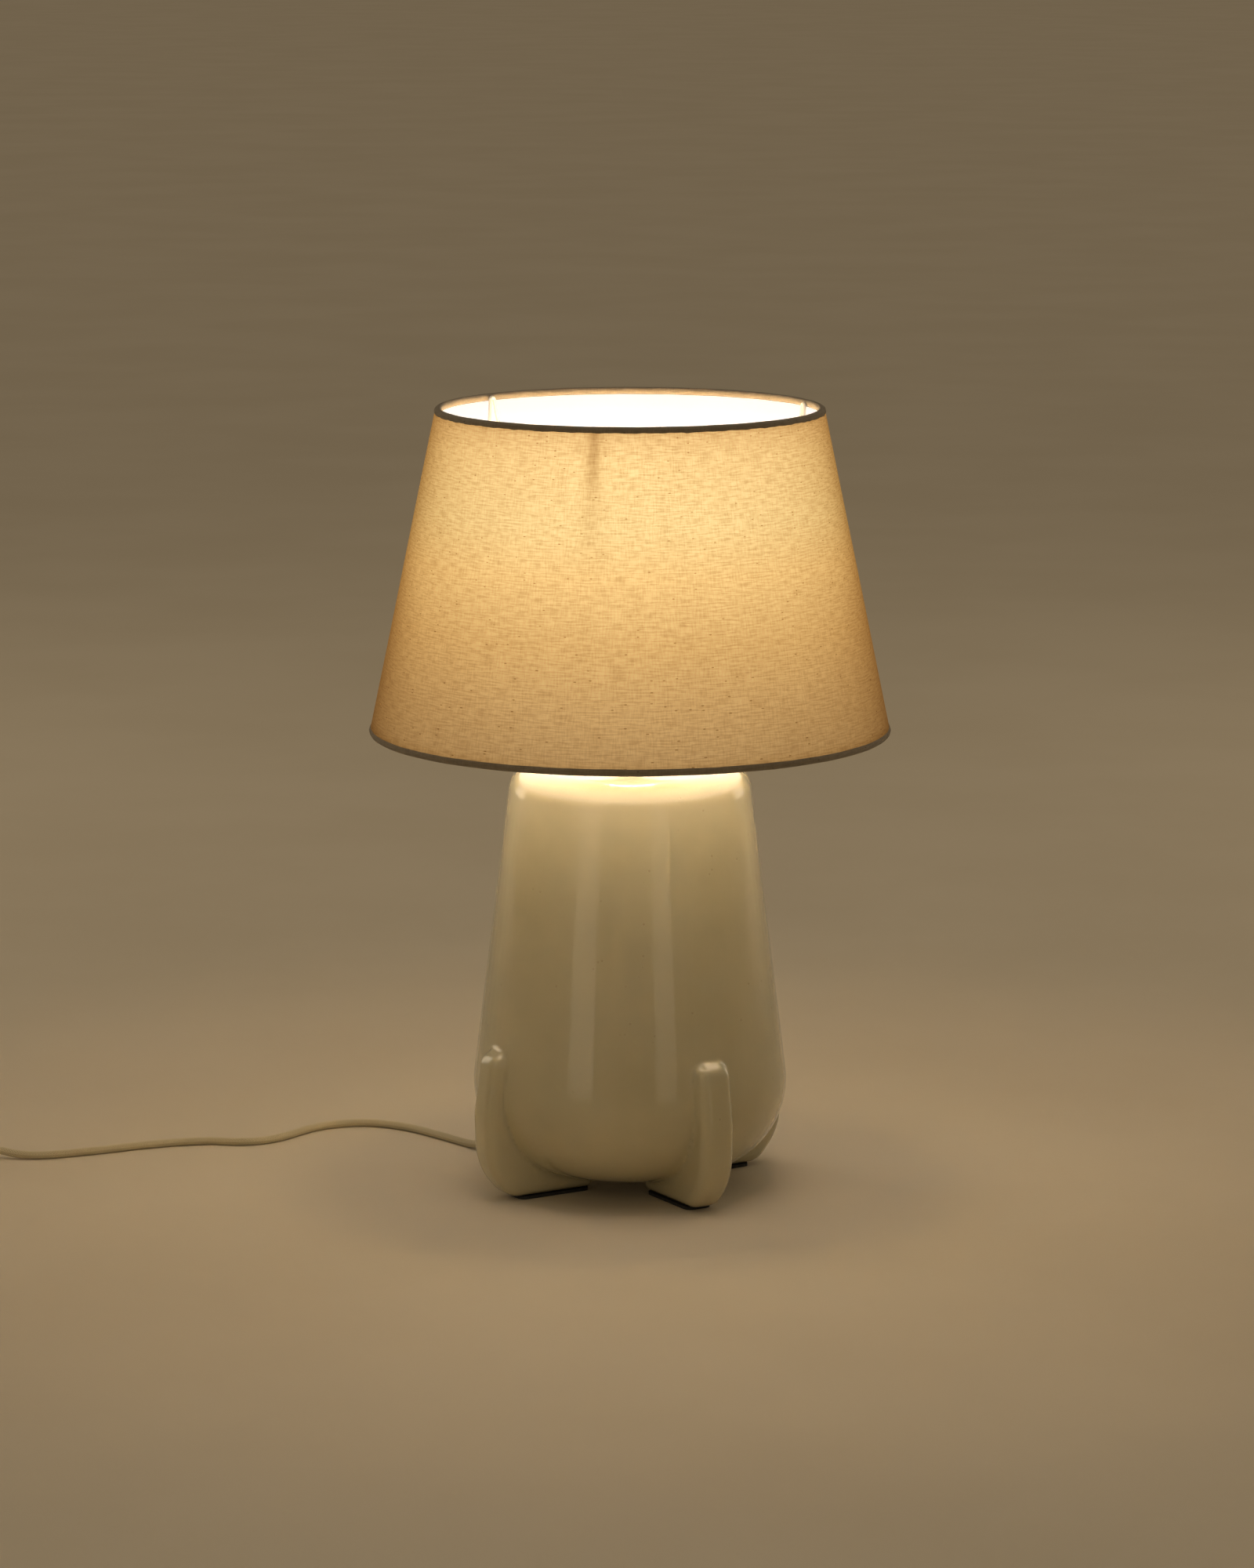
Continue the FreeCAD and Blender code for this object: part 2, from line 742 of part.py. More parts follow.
def make_bulb():
    cap_floor = "bulb_cap_bottom"
    keep(cylinder("tip_body", "bulb_tip_radius", "bulb_tip_height", "bulb_tip"), "bulb_tip_contact")
    glass_bottom = "bulb_tip + bulb_tip_height"
    keep(turned("glass_body", [
        ("0", glass_bottom),
        ("bulb_tip_radius + 1", glass_bottom),
        ("bulb_glass_radius", cap_floor),
        ("0", cap_floor),
    ]), "bulb_insulator")
    keep(turned("cap_shell_body", [
        ("0", cap_floor),
        ("bulb_glass_radius", cap_floor),
        *ridges("bulb_cap_root + shell_wave", "bulb_cap_root", f"{cap_floor} + 1.2", "shell_pitch", 5),
        ("bulb_cap_root", "bulb_collar_bottom"),
        ("0", "bulb_collar_bottom"),
    ]), "bulb_screw_cap")

    def flare(height):
        return f"bulb_collar_radius + bulb_flare * ({height} - bulb_collar_bottom)"

    keep(turned("collar_body", [
        ("0", "bulb_collar_bottom"),
        ("bulb_collar_radius", "bulb_collar_bottom", "1"),
        (flare("bulb_globe_bottom"), "bulb_globe_bottom"),
        ("0", "bulb_globe_bottom"),
    ]), "bulb_collar")
    inner_top = "bulb_globe_top - bulb_wall"
    keep(turned("globe_body", [
        (flare("bulb_globe_bottom"), "bulb_globe_bottom"),
        (flare("bulb_globe_top"), "bulb_globe_top", "bulb_globe_round"),
        ("0", "bulb_globe_top"),
        ("0", inner_top),
        (f"{flare(f'({inner_top})')} - bulb_wall", inner_top, "bulb_globe_round - bulb_wall - 0.2"),
        (f"{flare('bulb_globe_bottom')} - bulb_wall", "bulb_globe_bottom"),
    ]), "bulb_globe")


# ---- shade ----------------------------------------------------------------------------


def shade_radius(height, outwards):
    """Radius of the cone through both wire rings, moved outwards."""
    fall = "(shade_bottom_radius - shade_top_radius) / (shade_top - shade_bottom - 2 * hem_round)"
    start = "shade_bottom_radius - hem_round"
    return f"{start} - {fall} * ({height} - shade_bottom - hem_round) + {outwards}"


def cone_sheet(name, inner, outer):
    low = "shade_bottom + 2 * hem_round - 0.1"
    high = "shade_top - 2 * hem_round + 0.1"
    return turned(name, [
        (shade_radius(f"({low})", inner), low),
        (shade_radius(f"({low})", outer), low),
        (shade_radius(f"({high})", outer), high),
        (shade_radius(f"({high})", inner), high),
    ])


def torus(name, radius, section, height):
    ring = doc.addObject("Part::Torus", name)
    bind(ring, Radius1=radius, Radius2=section)
    ring.setExpression("Placement.Base.z", bound(height))
    return ring


def make_hem(name, radius, height, open_angle):
    """Cloth rolled round a wire ring: nearly a full circle in section, with a slit."""
    body = doc.addObject("PartDesign::Body", name + "_body")
    sketch = body.newObject("Sketcher::SketchObject", name + "_section")
    plane = next(f for f in body.Origin.OriginFeatures if f.Role == "XZ_Plane")
    sketch.AttachmentSupport = [(plane, "")]
    sketch.MapMode = "FlatFace"
    doc.recompute()
    centre = FreeCAD.Vector(value(radius), value(height), 0)
    slit = math.radians(value("hem_slit"))
    first = math.radians(open_angle) + slit / 2
    last = first + 2 * math.pi - slit
    up = FreeCAD.Vector(0, 0, 1)
    arcs = []
    for size in ("hem_round", "hem_round - hem_thickness"):
        circle = Part.Circle(centre, up, value(size))
        arcs.append(sketch.addGeometry(Part.ArcOfCircle(circle, first, last), False))
        index = sketch.addConstraint(Sketcher.Constraint("Radius", arcs[-1], value(size)))
        sketch.setExpression(f"Constraints[{index}]", bound(size))
    place_point(sketch, arcs[0], 3, (radius, height))
    sketch.addConstraint(Sketcher.Constraint("Coincident", arcs[0], 3, arcs[1], 3))
    for end in (1, 2):
        ends = [sketch.getPoint(arc, end) for arc in arcs]
        line = sketch.addGeometry(Part.LineSegment(*ends), False)
        sketch.addConstraint(Sketcher.Constraint("Coincident", line, 1, arcs[0], end))
        sketch.addConstraint(Sketcher.Constraint("Coincident", line, 2, arcs[1], end))
    feature = body.newObject("PartDesign::Revolution", name + "_turned")
    feature.Profile = sketch
    feature.ReferenceAxis = (sketch, ["V_Axis"])
    feature.Angle = 360
    keep(body, name)


def make_shade():
    inner = "hem_round - hem_thickness - liner_thickness"
    middle = "hem_round - hem_thickness"
    keep(cone_sheet("linen_body", middle, f"{middle} + linen_thickness"), "shade_linen")
    keep(cone_sheet("liner_body", inner, middle), "shade_liner")
    rings = {
        "bottom": ("shade_bottom_radius - hem_round", "shade_bottom + hem_round"),
        "top": ("shade_top_radius - hem_round", "shade_top - hem_round"),
    }
    for place, (radius, height) in rings.items():
        keep(torus(f"{place}_wire", radius, "ring_wire", height), f"{place}_ring")
        make_hem(f"{place}_hem", radius, height, value(f"{place}_hem_slit"))


def make_carrier():
    bottom = "cup_height + flange_height + fit_gap"
    keep(turned("fitter_body", [
        ("fitter_bore", bottom),
        ("fitter_radius", bottom, "fitter_round"),
        ("fitter_radius", f"{bottom} + fitter_thickness", "fitter_round"),
        ("fitter_bore", f"{bottom} + fitter_thickness"),
    ]), "fitter_ring")
    spread = math.tan(math.radians(value("arm_spread")))
    bend = value("arm_bend")
    apex_radius = value("shade_top_radius - hem_round - ring_wire - arm_wire")
    apex = value("shade_top - hem_round") + bend / math.sin(math.radians(value("arm_spread"))) - bend
    knee = value("arm_knee_height")
    rest = value(f"{bottom} + fitter_thickness + arm_wire")
    foot = (value("arm_foot_radius"), value("arm_foot_spread"), rest)
    lift = (value("arm_foot_radius + arm_foot_run"), foot[1] * 1.05, rest + value("arm_foot_lift"))
    half = [foot, lift, (value("arm_knee_radius"), spread * (apex - knee), knee)]
    hairpin = [*half, (apex_radius, 0, apex), *[(r, -side, z) for r, side, z in reversed(half)]]
    for angle, side in ARM_NAMES.items():
        arm = tube(f"arm_{side}_wire", hairpin, value("arm_wire"), bend)
        arm.Placement = turned_placement(angle=value("arm_angle") + angle)
        keep(arm, f"arm_{side}")


# ---- cord, switch, coil and plug ------------------------------------------------------


def switch_placement():
    return turned_placement(value("switch_x"), value("switch_y"), 0, value("switch_turn"))


def make_cord():
    tip = exit_placement().multVec(FreeCAD.Vector(0, 0, value("relief_length")))
    half = value("switch_length / 2")
    height = value("switch_axis")
    entry = switch_placement().multVec(FreeCAD.Vector(half, 0, height))
    leaving = switch_placement().multVec(FreeCAD.Vector(-half, 0, height))
    radius = value("cord_round")
    keep(tube("lead", [tip, *LEAD_ROUTE, entry], radius), "cord_lead")
    keep(tube("link", [leaving, *LINK_ROUTE], radius), "cord_link")
    rear = (value("plug_x"), value("plug_y + plug_relief_length"), value("plug_height / 2"))
    keep(tube("tail", [*TAIL_ROUTE, rear], radius), "cord_tail")


def coil_section(grow):
    low = f"coil_inner - {grow}"
    high = f"coil_outer + {grow}"
    corner = f"cord_round + {grow}"
    return [
        (low, f"coil_bottom - {grow}", corner),
        (high, f"coil_bottom - {grow}", corner),
        (high, f"coil_top + {grow}", corner),
        (low, f"coil_top + {grow}", corner),
    ]


def make_coil():
    coil = turned("coil_body", coil_section("0"))
    coil.Placement = turned_placement(value("coil_x"), value("coil_y"))
    keep(coil, "cord_coil")
    outer = extruded("tie_outer", "XZ_Plane", coil_section("tie_thickness"), "tie_width", middle=True)
    inner = extruded("tie_inner", "XZ_Plane", coil_section("0"), "tie_width + 4", middle=True)
    tie = cut("tie_cut", outer, inner)
    tie.Placement = turned_placement(value("coil_x"), value("coil_y"), 0, value("tie_angle"))
    keep(tie, "coil_tie")


def across(name, radius, length):
    """A round bar square to the switch's length, on the rocker's axis."""
    bar = doc.addObject("Part::Cylinder", name)
    bind(bar, Radius=radius, Height=length)
    lie = FreeCAD.Rotation(FreeCAD.Vector(1, 0, 0), -90)
    start = FreeCAD.Vector(0, -value(length) / 2, value("rocker_pivot"))
    bar.Placement = FreeCAD.Placement(start, lie)
    return bar


def screw_bars(name, radius, bottom, height):
    spots = (("screw_x", "-screw_y"), ("-screw_x", "screw_y"))
    return [cylinder(f"{name}_{i}", radius, height, bottom, x, y) for i, (x, y) in enumerate(spots)]


def block(name, length, width, height, x, y, z):
    box = doc.addObject("Part::Box", name)
    bind(box, Length=length, Width=width, Height=height)
    for axis, text in (("x", x), ("y", y), ("z", z)):
        box.setExpression(f"Placement.Base.{axis}", bound(text))
    return box


def make_shells():
    place = switch_placement()
    outline = rectangle("switch_length", "switch_width", "switch_corner")
    inside = rectangle("switch_length - 2 * switch_wall", "switch_width - 2 * switch_wall",
                       "switch_corner - switch_wall")
    bore = doc.addObject("Part::Cylinder", "switch_bore")
    bind(bore, Radius="cord_round", Height="switch_length + 2")
    start = FreeCAD.Vector(-value("switch_length / 2") - 1, 0, value("switch_axis"))
    bore.Placement = FreeCAD.Placement(start, FreeCAD.Rotation(FreeCAD.Vector(0, 1, 0), 90))

    lower = extruded("switch_lower_block", "XY_Plane", outline, "switch_split")
    rounded_edges(lower, lambda e: e.BoundBox.ZMax < TOLERANCE, "switch_low_edge")
    lower_room = extruded("switch_lower_room", "XY_Plane", inside, "switch_split", offset="switch_wall")
    open_shell = cut("switch_lower_open", lower, lower_room)
    posts = screw_bars("lower_post", "screw_boss", "switch_wall", "switch_split - switch_wall")
    holes = screw_bars("lower_hole", "screw_radius + thread_play", "-1", "switch_height")
    heads = screw_bars("lower_sink", "screw_head + thread_play", "-1",
                       "1 + screw_recess + screw_head_height")
    lower_cut = cut("switch_lower_cut", joined("switch_lower_posts", [open_shell, *posts]),
                    joined("switch_lower_tools", [bore, *holes, *heads]))
    lower_cut.Placement = place
    keep(lower_cut, "switch_lower_shell")

    rise = "switch_height - switch_split"
    upper = extruded("switch_upper_block", "XY_Plane", outline, rise, offset="switch_split")
    top = value("switch_height")
    rounded_edges(upper, lambda e: e.BoundBox.ZMin > top - TOLERANCE, "switch_top_edge")
    upper_room = extruded("switch_upper_room", "XY_Plane", inside, f"{rise} - switch_wall",
                          offset="switch_split")
    open_top = cut("switch_upper_open", upper, upper_room)
    posts = screw_bars("upper_post", "screw_boss", "switch_split", f"{rise} - 1")
    reach = "rocker_width / 2 + rocker_play + fit_gap"
    ears = [
        block(f"rocker_ear_{i}", "boss_width", "boss_length", "boss_height", "-boss_width / 2",
              inner_face, "rocker_pivot - boss_height / 2")
        for i, inner_face in enumerate((f"-({reach}) - boss_length", reach))
    ]
    window = extruded("switch_window", "XY_Plane",
                      rectangle("2 * (rocker_reach + rocker_play)", "rocker_width + 2 * rocker_play", "1"),
                      "switch_height", offset="switch_split")
    pivot = across("rocker_bore", "rocker_pin + thread_play", "switch_width - switch_wall")
    holes = screw_bars("upper_hole", "screw_radius + thread_play", "0", "switch_height - screw_cover")
    upper_cut = cut("switch_upper_cut", joined("switch_upper_posts", [open_top, *posts, *ears]),
                    joined("switch_upper_tools", [bore, window, pivot, *holes]))
    upper_cut.Placement = place
    keep(upper_cut, "switch_upper_shell")

    shank_length = "switch_height - screw_cover - screw_recess - fit_gap"
    shanks = screw_bars("screw_shank", "screw_radius", "screw_recess", shank_length)
    caps = screw_bars("screw_cap", "screw_head", "screw_recess", "screw_head_height")
    screws = joined("switch_screw_set", [*shanks, *caps])
    screws.Placement = place
    keep(screws, "switch_screws")


def make_rocker():
    """At rest the -X half of the rocker is level and the +X half stands up."""
    place = switch_placement()
    crown = "switch_height + rocker_proud"
    profile = extruded("rocker_profile", "XZ_Plane", [
        ("-rocker_reach - 1", "rocker_pivot + 1"),
        ("-rocker_root", "rocker_pivot - rocker_root", "rocker_root / 2"),
        ("rocker_root", "rocker_pivot - rocker_root", "rocker_root / 2"),
        ("rocker_reach + 1", "rocker_pivot + 1"),
        ("rocker_reach + 1", f"{crown} + (rocker_reach + 1) * tan(rocker_travel)"),
        ("0", crown),
        ("-rocker_reach - 1", f"{crown} + 0.01"),
    ], "rocker_width", middle=True)
    swing = across("rocker_swing", "rocker_reach", "rocker_width")
    common = doc.addObject("Part::MultiCommon", "rocker_round_ends")
    common.Shapes = [profile, swing]
    pin = across("rocker_pivot_pin", "rocker_pin", "rocker_width + 2 * boss_length")
    rocker = joined("rocker_joined", [common, pin])
    rocker.Placement = place
    keep(rocker, "switch_rocker")


def make_blades():
    blades = joined("switch_blades", [
        block(f"blade_{side}", "blade_length", "blade_width", "blade_height",
              f"{side} * switch_length / 6 - blade_length / 2", "-blade_width / 2", "switch_wall")
        for side in (-1, 1)
    ])
    blades.Placement = switch_placement()
    keep(blades, "switch_contacts")


def make_plug():
    place = turned_placement(value("plug_x"), value("plug_y"), 0, -90)
    front = "plug_length"
    housing = extruded("plug_block", "XY_Plane", [
        ("0", "-plug_face_width / 4", "plug_edge"),
        ("plug_shoulder", "-plug_width / 2", "plug_corner"),
        (front, "-plug_face_width / 2", "plug_edge"),
        (front, "plug_face_width / 2", "plug_edge"),
        ("plug_shoulder", "plug_width / 2", "plug_corner"),
        ("0", "plug_face_width / 4", "plug_edge"),
    ], "plug_height")
    flat = value("plug_height")
    rounded_edges(housing, lambda e: e.BoundBox.ZMin > flat - TOLERANCE
                  or e.BoundBox.ZMax < TOLERANCE, "plug_edge")
    boot = doc.addObject("Part::Cone", "plug_boot")
    bind(boot, Radius1="plug_relief_tip", Radius2="plug_relief_root", Height="plug_relief_length + 2")
    along = FreeCAD.Rotation(FreeCAD.Vector(0, 1, 0), 90)
    middle = value("plug_height / 2")
    boot.Placement = FreeCAD.Placement(
        FreeCAD.Vector(-value("plug_relief_length"), 0, middle), along)
    body = joined("plug_joined", [housing, boot])
    body.Placement = place
    keep(body, "plug_body")
    parts = {"pins": [], "sleeves": []}
    for side in (-1, 1):
        spot = FreeCAD.Vector(value(front), side * value("pin_spacing / 2"), middle)
        spots = {
            "sleeves": (spot, "sleeve_radius", "sleeve_length"),
            "pins": (spot + FreeCAD.Vector(value("sleeve_length"), 0, 0), "pin_radius",
                     "pin_length - sleeve_length"),
        }
        for kind, (start, radius, length) in spots.items():
            bar = doc.addObject("Part::Cylinder", f"{kind}_{side}")
            bind(bar, Radius=radius, Height=length)
            bar.Placement = FreeCAD.Placement(start, along)
            parts[kind].append(bar)
    for kind, bars in parts.items():
        group = joined(f"plug_{kind}_set", bars)
        group.Placement = place
        keep(group, f"plug_{kind}")


def check_and_write():
    doc.recompute()
    for thing in doc.Objects:
        assert not {"Invalid", "Error"} & set(thing.State), (thing.Label, thing.State)
    os.makedirs("parts", exist_ok=True)
    for node in nodes:
        shape = node.Shape
        assert not shape.isNull() and shape.isValid() and shape.Solids, node.Label
        shape.exportStep(f"parts/{node.Label}.step")
        print(f"{node.Label}: {len(shape.Solids)} solid, {shape.Volume:.1f} mm3")


fill_sheet()
make_body()
make_pads()
make_relief()
make_stack()
make_holder()
make_contacts()
make_wires()
make_clamp()
make_bulb()
make_shade()
make_carrier()
make_cord()
make_coil()
make_shells()
make_rocker()
make_blades()
make_plug()
check_and_write()
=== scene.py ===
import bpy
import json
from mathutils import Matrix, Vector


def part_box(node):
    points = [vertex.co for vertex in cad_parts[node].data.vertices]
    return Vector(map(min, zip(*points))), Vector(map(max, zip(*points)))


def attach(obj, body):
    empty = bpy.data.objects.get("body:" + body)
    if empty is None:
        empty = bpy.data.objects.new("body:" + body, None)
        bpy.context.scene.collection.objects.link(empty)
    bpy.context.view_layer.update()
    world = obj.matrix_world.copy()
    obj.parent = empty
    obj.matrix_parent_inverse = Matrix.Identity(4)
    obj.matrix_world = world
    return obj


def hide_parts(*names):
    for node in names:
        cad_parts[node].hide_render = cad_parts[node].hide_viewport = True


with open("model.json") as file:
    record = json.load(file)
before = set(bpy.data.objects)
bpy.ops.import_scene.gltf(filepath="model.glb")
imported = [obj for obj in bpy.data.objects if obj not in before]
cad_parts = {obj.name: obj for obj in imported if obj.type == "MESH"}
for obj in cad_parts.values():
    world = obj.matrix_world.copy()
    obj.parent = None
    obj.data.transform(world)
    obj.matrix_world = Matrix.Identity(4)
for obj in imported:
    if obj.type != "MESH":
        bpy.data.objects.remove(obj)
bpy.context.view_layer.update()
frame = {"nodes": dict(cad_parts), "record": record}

import json
import math
import random

import bpy
from mathutils import Vector

# Table lamp with a lit linen shade on a glazed body. Metres, +Z up, -Y is the front.
# Colours are linear red, green and blue.

TURN = 2 * math.pi
MM = 0.001
WARM = (1.0, 0.83, 0.60)
random.seed(7)


# ---- camera and light -----------------------------------------------------------------


def make_camera():
    lens = bpy.data.cameras.new("camera")
    lens.lens = 120.6
    lens.clip_end = 100
    camera = bpy.data.objects.new("camera", lens)
    camera.location = (-0.002, -3.488, 0.896)
    looks_down = 10.098
    camera.rotation_euler = (math.radians(90 - looks_down), 0, 0)
    bpy.context.scene.collection.objects.link(camera)
    bpy.context.scene.camera = camera


def add_light(name, kind, energy, place=(0, 0, 3)):
    """A warm studio light that is aimed at the middle of the lamp."""
    light = bpy.data.lights.new(name, kind)
    light.energy = energy
    light.color = WARM
    thing = bpy.data.objects.new(name, light)
    thing.location = place
    middle = Vector((0, 0, 0.25))
    aim = middle - thing.location
    thing.rotation_euler = aim.to_track_quat("-Z", "Y").to_euler()
    bpy.context.scene.collection.objects.link(thing)
    return light


def add_softbox(name, energy, place, width, height):
    """A rectangular light, which the glaze mirrors as a soft highlight."""
    light = add_light(name, "AREA", energy, place)
    light.shape = "RECTANGLE"
    light.size, light.size_y = width, height


def make_light():
    world = bpy.data.worlds.new("studio")
    world.use_nodes = True
    sky = world.node_tree.nodes["Background"]
    sky.inputs["Color"].default_value = (1.0, 0.84, 0.62, 1)
    sky.inputs["Strength"].default_value = 0.10
    bpy.context.scene.world = world
    bpy.context.scene.view_settings.view_transform = "Standard"
    add_softbox("key", 5.5, (-2.0, -2.6, 1.3), 1.3, 2.6)
    add_softbox("fill", 3.0, (1.5, -3.0, 1.2), 0.9, 2.4)
    add_softbox("left_edge", 8.0, (-2.2, 1.6, 1.0), 1.0, 1.8)
    add_softbox("right_edge", 8.0, (2.2, 1.6, 1.0), 1.0, 1.8)
    overhead = add_light("overhead", "SUN", 0.46)
    overhead.angle = math.radians(70)


# ---- materials ------------------------------------------------------------------------


class Paint:
    """A material, with short ways to add nodes to it."""

    def __init__(self, name, settings):
        self.material = bpy.data.materials.new(name)
        self.material.use_nodes = True
        self.tree = self.material.node_tree
        self.shader = self.tree.nodes["Principled BSDF"]
        for socket, value in settings.items():
            self.feed(self.shader.inputs[socket], value)
        coordinates = self.tree.nodes.new("ShaderNodeTexCoord")
        self.place = coordinates.outputs["Object"]
        self.cloth = coordinates.outputs["UV"]

    def feed(self, socket, value):
        """Links a socket to another one, or sets it to a plain value."""
        if isinstance(value, bpy.types.NodeSocket):
            self.tree.links.new(value, socket)
        elif isinstance(value, tuple) and socket.type == "RGBA":
            socket.default_value = (*value, 1)
        else:
            socket.default_value = value

    def add(self, kind, inputs, output=0, **settings):
        """Adds a node, feeds its inputs in order or by name, and gives one output."""
        node = self.tree.nodes.new(kind)
        for name, value in settings.items():
            setattr(node, name, value)
        for key, value in inputs.items():
            self.feed(node.inputs[key], value)
        return node.outputs[output]

    def calc(self, operation, *values):
        """One step of arithmetic on sockets or plain numbers."""
        inputs = dict(enumerate(values))
        return self.add("ShaderNodeMath", inputs, operation=operation)

    def mix(self, factor, first, second, blend="MIX"):
        inputs = {0: factor, 6: first, 7: second}
        return self.add("ShaderNodeMix", inputs, 2, data_type="RGBA", blend_type=blend)

    def scaled(self, place, factors):
        inputs = {0: place, 1: factors}
        return self.add("ShaderNodeVectorMath", inputs, operation="MULTIPLY")

    def noise(self, scale, detail, place=None, stretch=(1, 1, 1)):
        spot = self.scaled(place or self.place, stretch)
        inputs = {"Vector": spot, "Scale": scale, "Detail": detail, "Roughness": 0.55}
        return self.add("ShaderNodeTexNoise", inputs)

    def ramp(self, value, low, high, start=0.0, end=1.0):
        """Maps low..high of a value to start..end, eased at both ends."""
        inputs = {0: value, 1: low, 2: high, 3: start, 4: end}
        return self.add("ShaderNodeMapRange", inputs, interpolation_type="SMOOTHSTEP")

    def parts(self, vector):
        """The x, y and z of a vector."""
        node = self.tree.nodes.new("ShaderNodeSeparateXYZ")
        self.feed(node.inputs[0], vector)
        return node.outputs

    def bump(self, height, distance, strength, over=None):
        inputs = {"Strength": strength, "Distance": distance, "Height": height}
        if over:
            inputs["Normal"] = over
        return self.add("ShaderNodeBump", inputs)

    def finish(self, colour=None, roughness=None, normal=None):
        values = {"Base Color": colour, "Roughness": roughness, "Normal": normal}
        for socket, value in values.items():
            if value is not None:
                self.feed(self.shader.inputs[socket], value)
        return self.material


def glaze():
    """Ivory glaze, with painted shade darkening the creases, lighter on the edges, and bare clay
    under the feet.
    """
    ivory, cloudy = (0.61, 0.545, 0.345), (0.55, 0.485, 0.295)
    # The first colour is painted shade for the creases. The second is a lighter colour for the
    # edges.
    crease_shade, thin = (0.45, 0.40, 0.25), (0.70, 0.65, 0.49)
    speck, clay = (0.45, 0.35, 0.22), (0.52, 0.42, 0.31)
    paint = Paint("glaze", {"IOR": 1.55, "Coat Weight": 0.7, "Coat Roughness": 0.05})
    clouds = paint.ramp(paint.noise(9, 4), 0.35, 0.68)
    colour = paint.mix(clouds, ivory, cloudy)
    edges = paint.add("ShaderNodeNewGeometry", {}, "Pointiness")
    # Painted shade: the colour darkens in the creases. The edges get the lighter colour.
    colour = paint.mix(paint.ramp(edges, 0.50, 0.44), colour, crease_shade)
    colour = paint.mix(paint.ramp(edges, 0.52, 0.60), colour, thin)
    cells = {"Vector": paint.place, "Scale": 160.0}
    spots = paint.add("ShaderNodeTexVoronoi", cells, "Distance")
    rare = paint.ramp(paint.noise(55, 1), 0.60, 0.66)
    dots = paint.calc("MULTIPLY", paint.ramp(spots, 0.16, 0.08), rare)
    colour = paint.mix(paint.calc("MULTIPLY", dots, 0.55), colour, speck)
    height = paint.parts(paint.place)[2]
    glazed_from, bare_below = 0.0038, 0.0026
    bare = paint.ramp(height, glazed_from, bare_below)
    colour = paint.mix(bare, colour, clay)
    rough = paint.ramp(paint.noise(24, 3), 0.3, 0.7, 0.11, 0.19)
    rough = paint.calc("MAXIMUM", rough, paint.calc("MULTIPLY", bare, 0.75))
    slow = paint.bump(paint.noise(16, 2), 0.0011, 0.35)
    peel = paint.bump(paint.noise(420, 2), 0.00006, 0.5, over=slow)
    pits = paint.bump(dots, -0.0002, 0.6, over=peel)
    return paint.finish(colour, rough, pits)


def moulded(name, colour, rough=0.38, grain=900, depth=0.00003, coat=0.0):
    """Moulded plastic: a fine spark-eroded grain and slightly uneven gloss."""
    paint = Paint(name, {"IOR": 1.49, "Coat Weight": coat, "Coat Roughness": 0.15})
    darker = tuple(0.9 * c for c in colour)
    shade = paint.mix(paint.ramp(paint.noise(35, 3), 0.35, 0.65), colour, darker)
    gloss = paint.ramp(paint.noise(120, 3), 0.3, 0.7, rough - 0.06, rough + 0.08)
    skin = paint.bump(paint.noise(grain, 2), depth, 0.6)
    return paint.finish(shade, gloss, skin)


def metal(name, colour, rough, stretch=(1, 1, 30), scale=60):
    """Turned or drawn metal: fine marks along one direction."""
    paint = Paint(name, {"Metallic": 1.0})
    marks = paint.noise(scale, 4, stretch=stretch)
    dull = tuple(0.78 * c for c in colour)
    shade = paint.mix(paint.ramp(marks, 0.3, 0.7), dull, colour)
    gloss = paint.ramp(paint.noise(90, 3), 0.3, 0.7, rough - 0.07, rough + 0.1)
    return paint.finish(shade, gloss, paint.bump(marks, 0.00005, 0.5))


def rubber(name, colour):
    """Black rubber with a little pale dust on it."""
    paint = Paint(name, {"Specular IOR Level": 0.35})
    dust = paint.ramp(paint.noise(240, 4), 0.5, 0.8)
    dusty = tuple(2.2 * c for c in colour)
    shade = paint.mix(dust, colour, dusty)
    gloss = paint.ramp(paint.noise(80, 3), 0.3, 0.7, 0.62, 0.85)
    return paint.finish(shade, gloss, paint.bump(paint.noise(1500, 2), 0.00008, 0.7))


def powder_coat():
    """White coated wire, with the coat's fine orange peel."""
    white, creamy = (0.86, 0.84, 0.79), (0.78, 0.75, 0.69)
    paint = Paint("white_wire", {"IOR": 1.5})
    shade = paint.mix(paint.ramp(paint.noise(60, 3), 0.4, 0.7), white, creamy)
    gloss = paint.ramp(paint.noise(200, 2), 0.3, 0.7, 0.30, 0.45)
    return paint.finish(shade, gloss, paint.bump(paint.noise(1400, 2), 0.00005, 0.6))


def threads(paint, pitch):
    """Plain weave, 0 in the gaps to 1 on the threads. pitch is one thread's, in metres."""
    around, up, _ = paint.parts(paint.cloth)
    wander = paint.noise(70, 2, paint.cloth)
    around = paint.calc("MULTIPLY_ADD", wander, 0.6 * pitch, around)
    up = paint.calc("MULTIPLY_ADD", wander, -0.6 * pitch, up)
    warp = paint.calc("SINE", paint.calc("MULTIPLY", around, math.pi / pitch))
    weft = paint.calc("SINE", paint.calc("MULTIPLY", up, math.pi / pitch))
    over = paint.calc("MULTIPLY_ADD", paint.calc("MULTIPLY", warp, weft), 0.5, 0.5)
    under = paint.calc("SUBTRACT", 1.0, over)
    upright = paint.calc("MULTIPLY", paint.calc("ABSOLUTE", warp), over)
    level = paint.calc("MULTIPLY", paint.calc("ABSOLUTE", weft), under)
    return paint.calc("MAXIMUM", upright, level)


def slubs(paint, fine, long):
    """Uneven threads: streaks that run around and up, finer across than along."""
    level = paint.noise(1, 2, paint.cloth, (long, fine, 1))
    upright = paint.noise(1, 2, paint.cloth, (fine, 1.4 * long, 1))
    return paint.ramp(level, 0.36, 0.68), paint.ramp(upright, 0.36, 0.68)


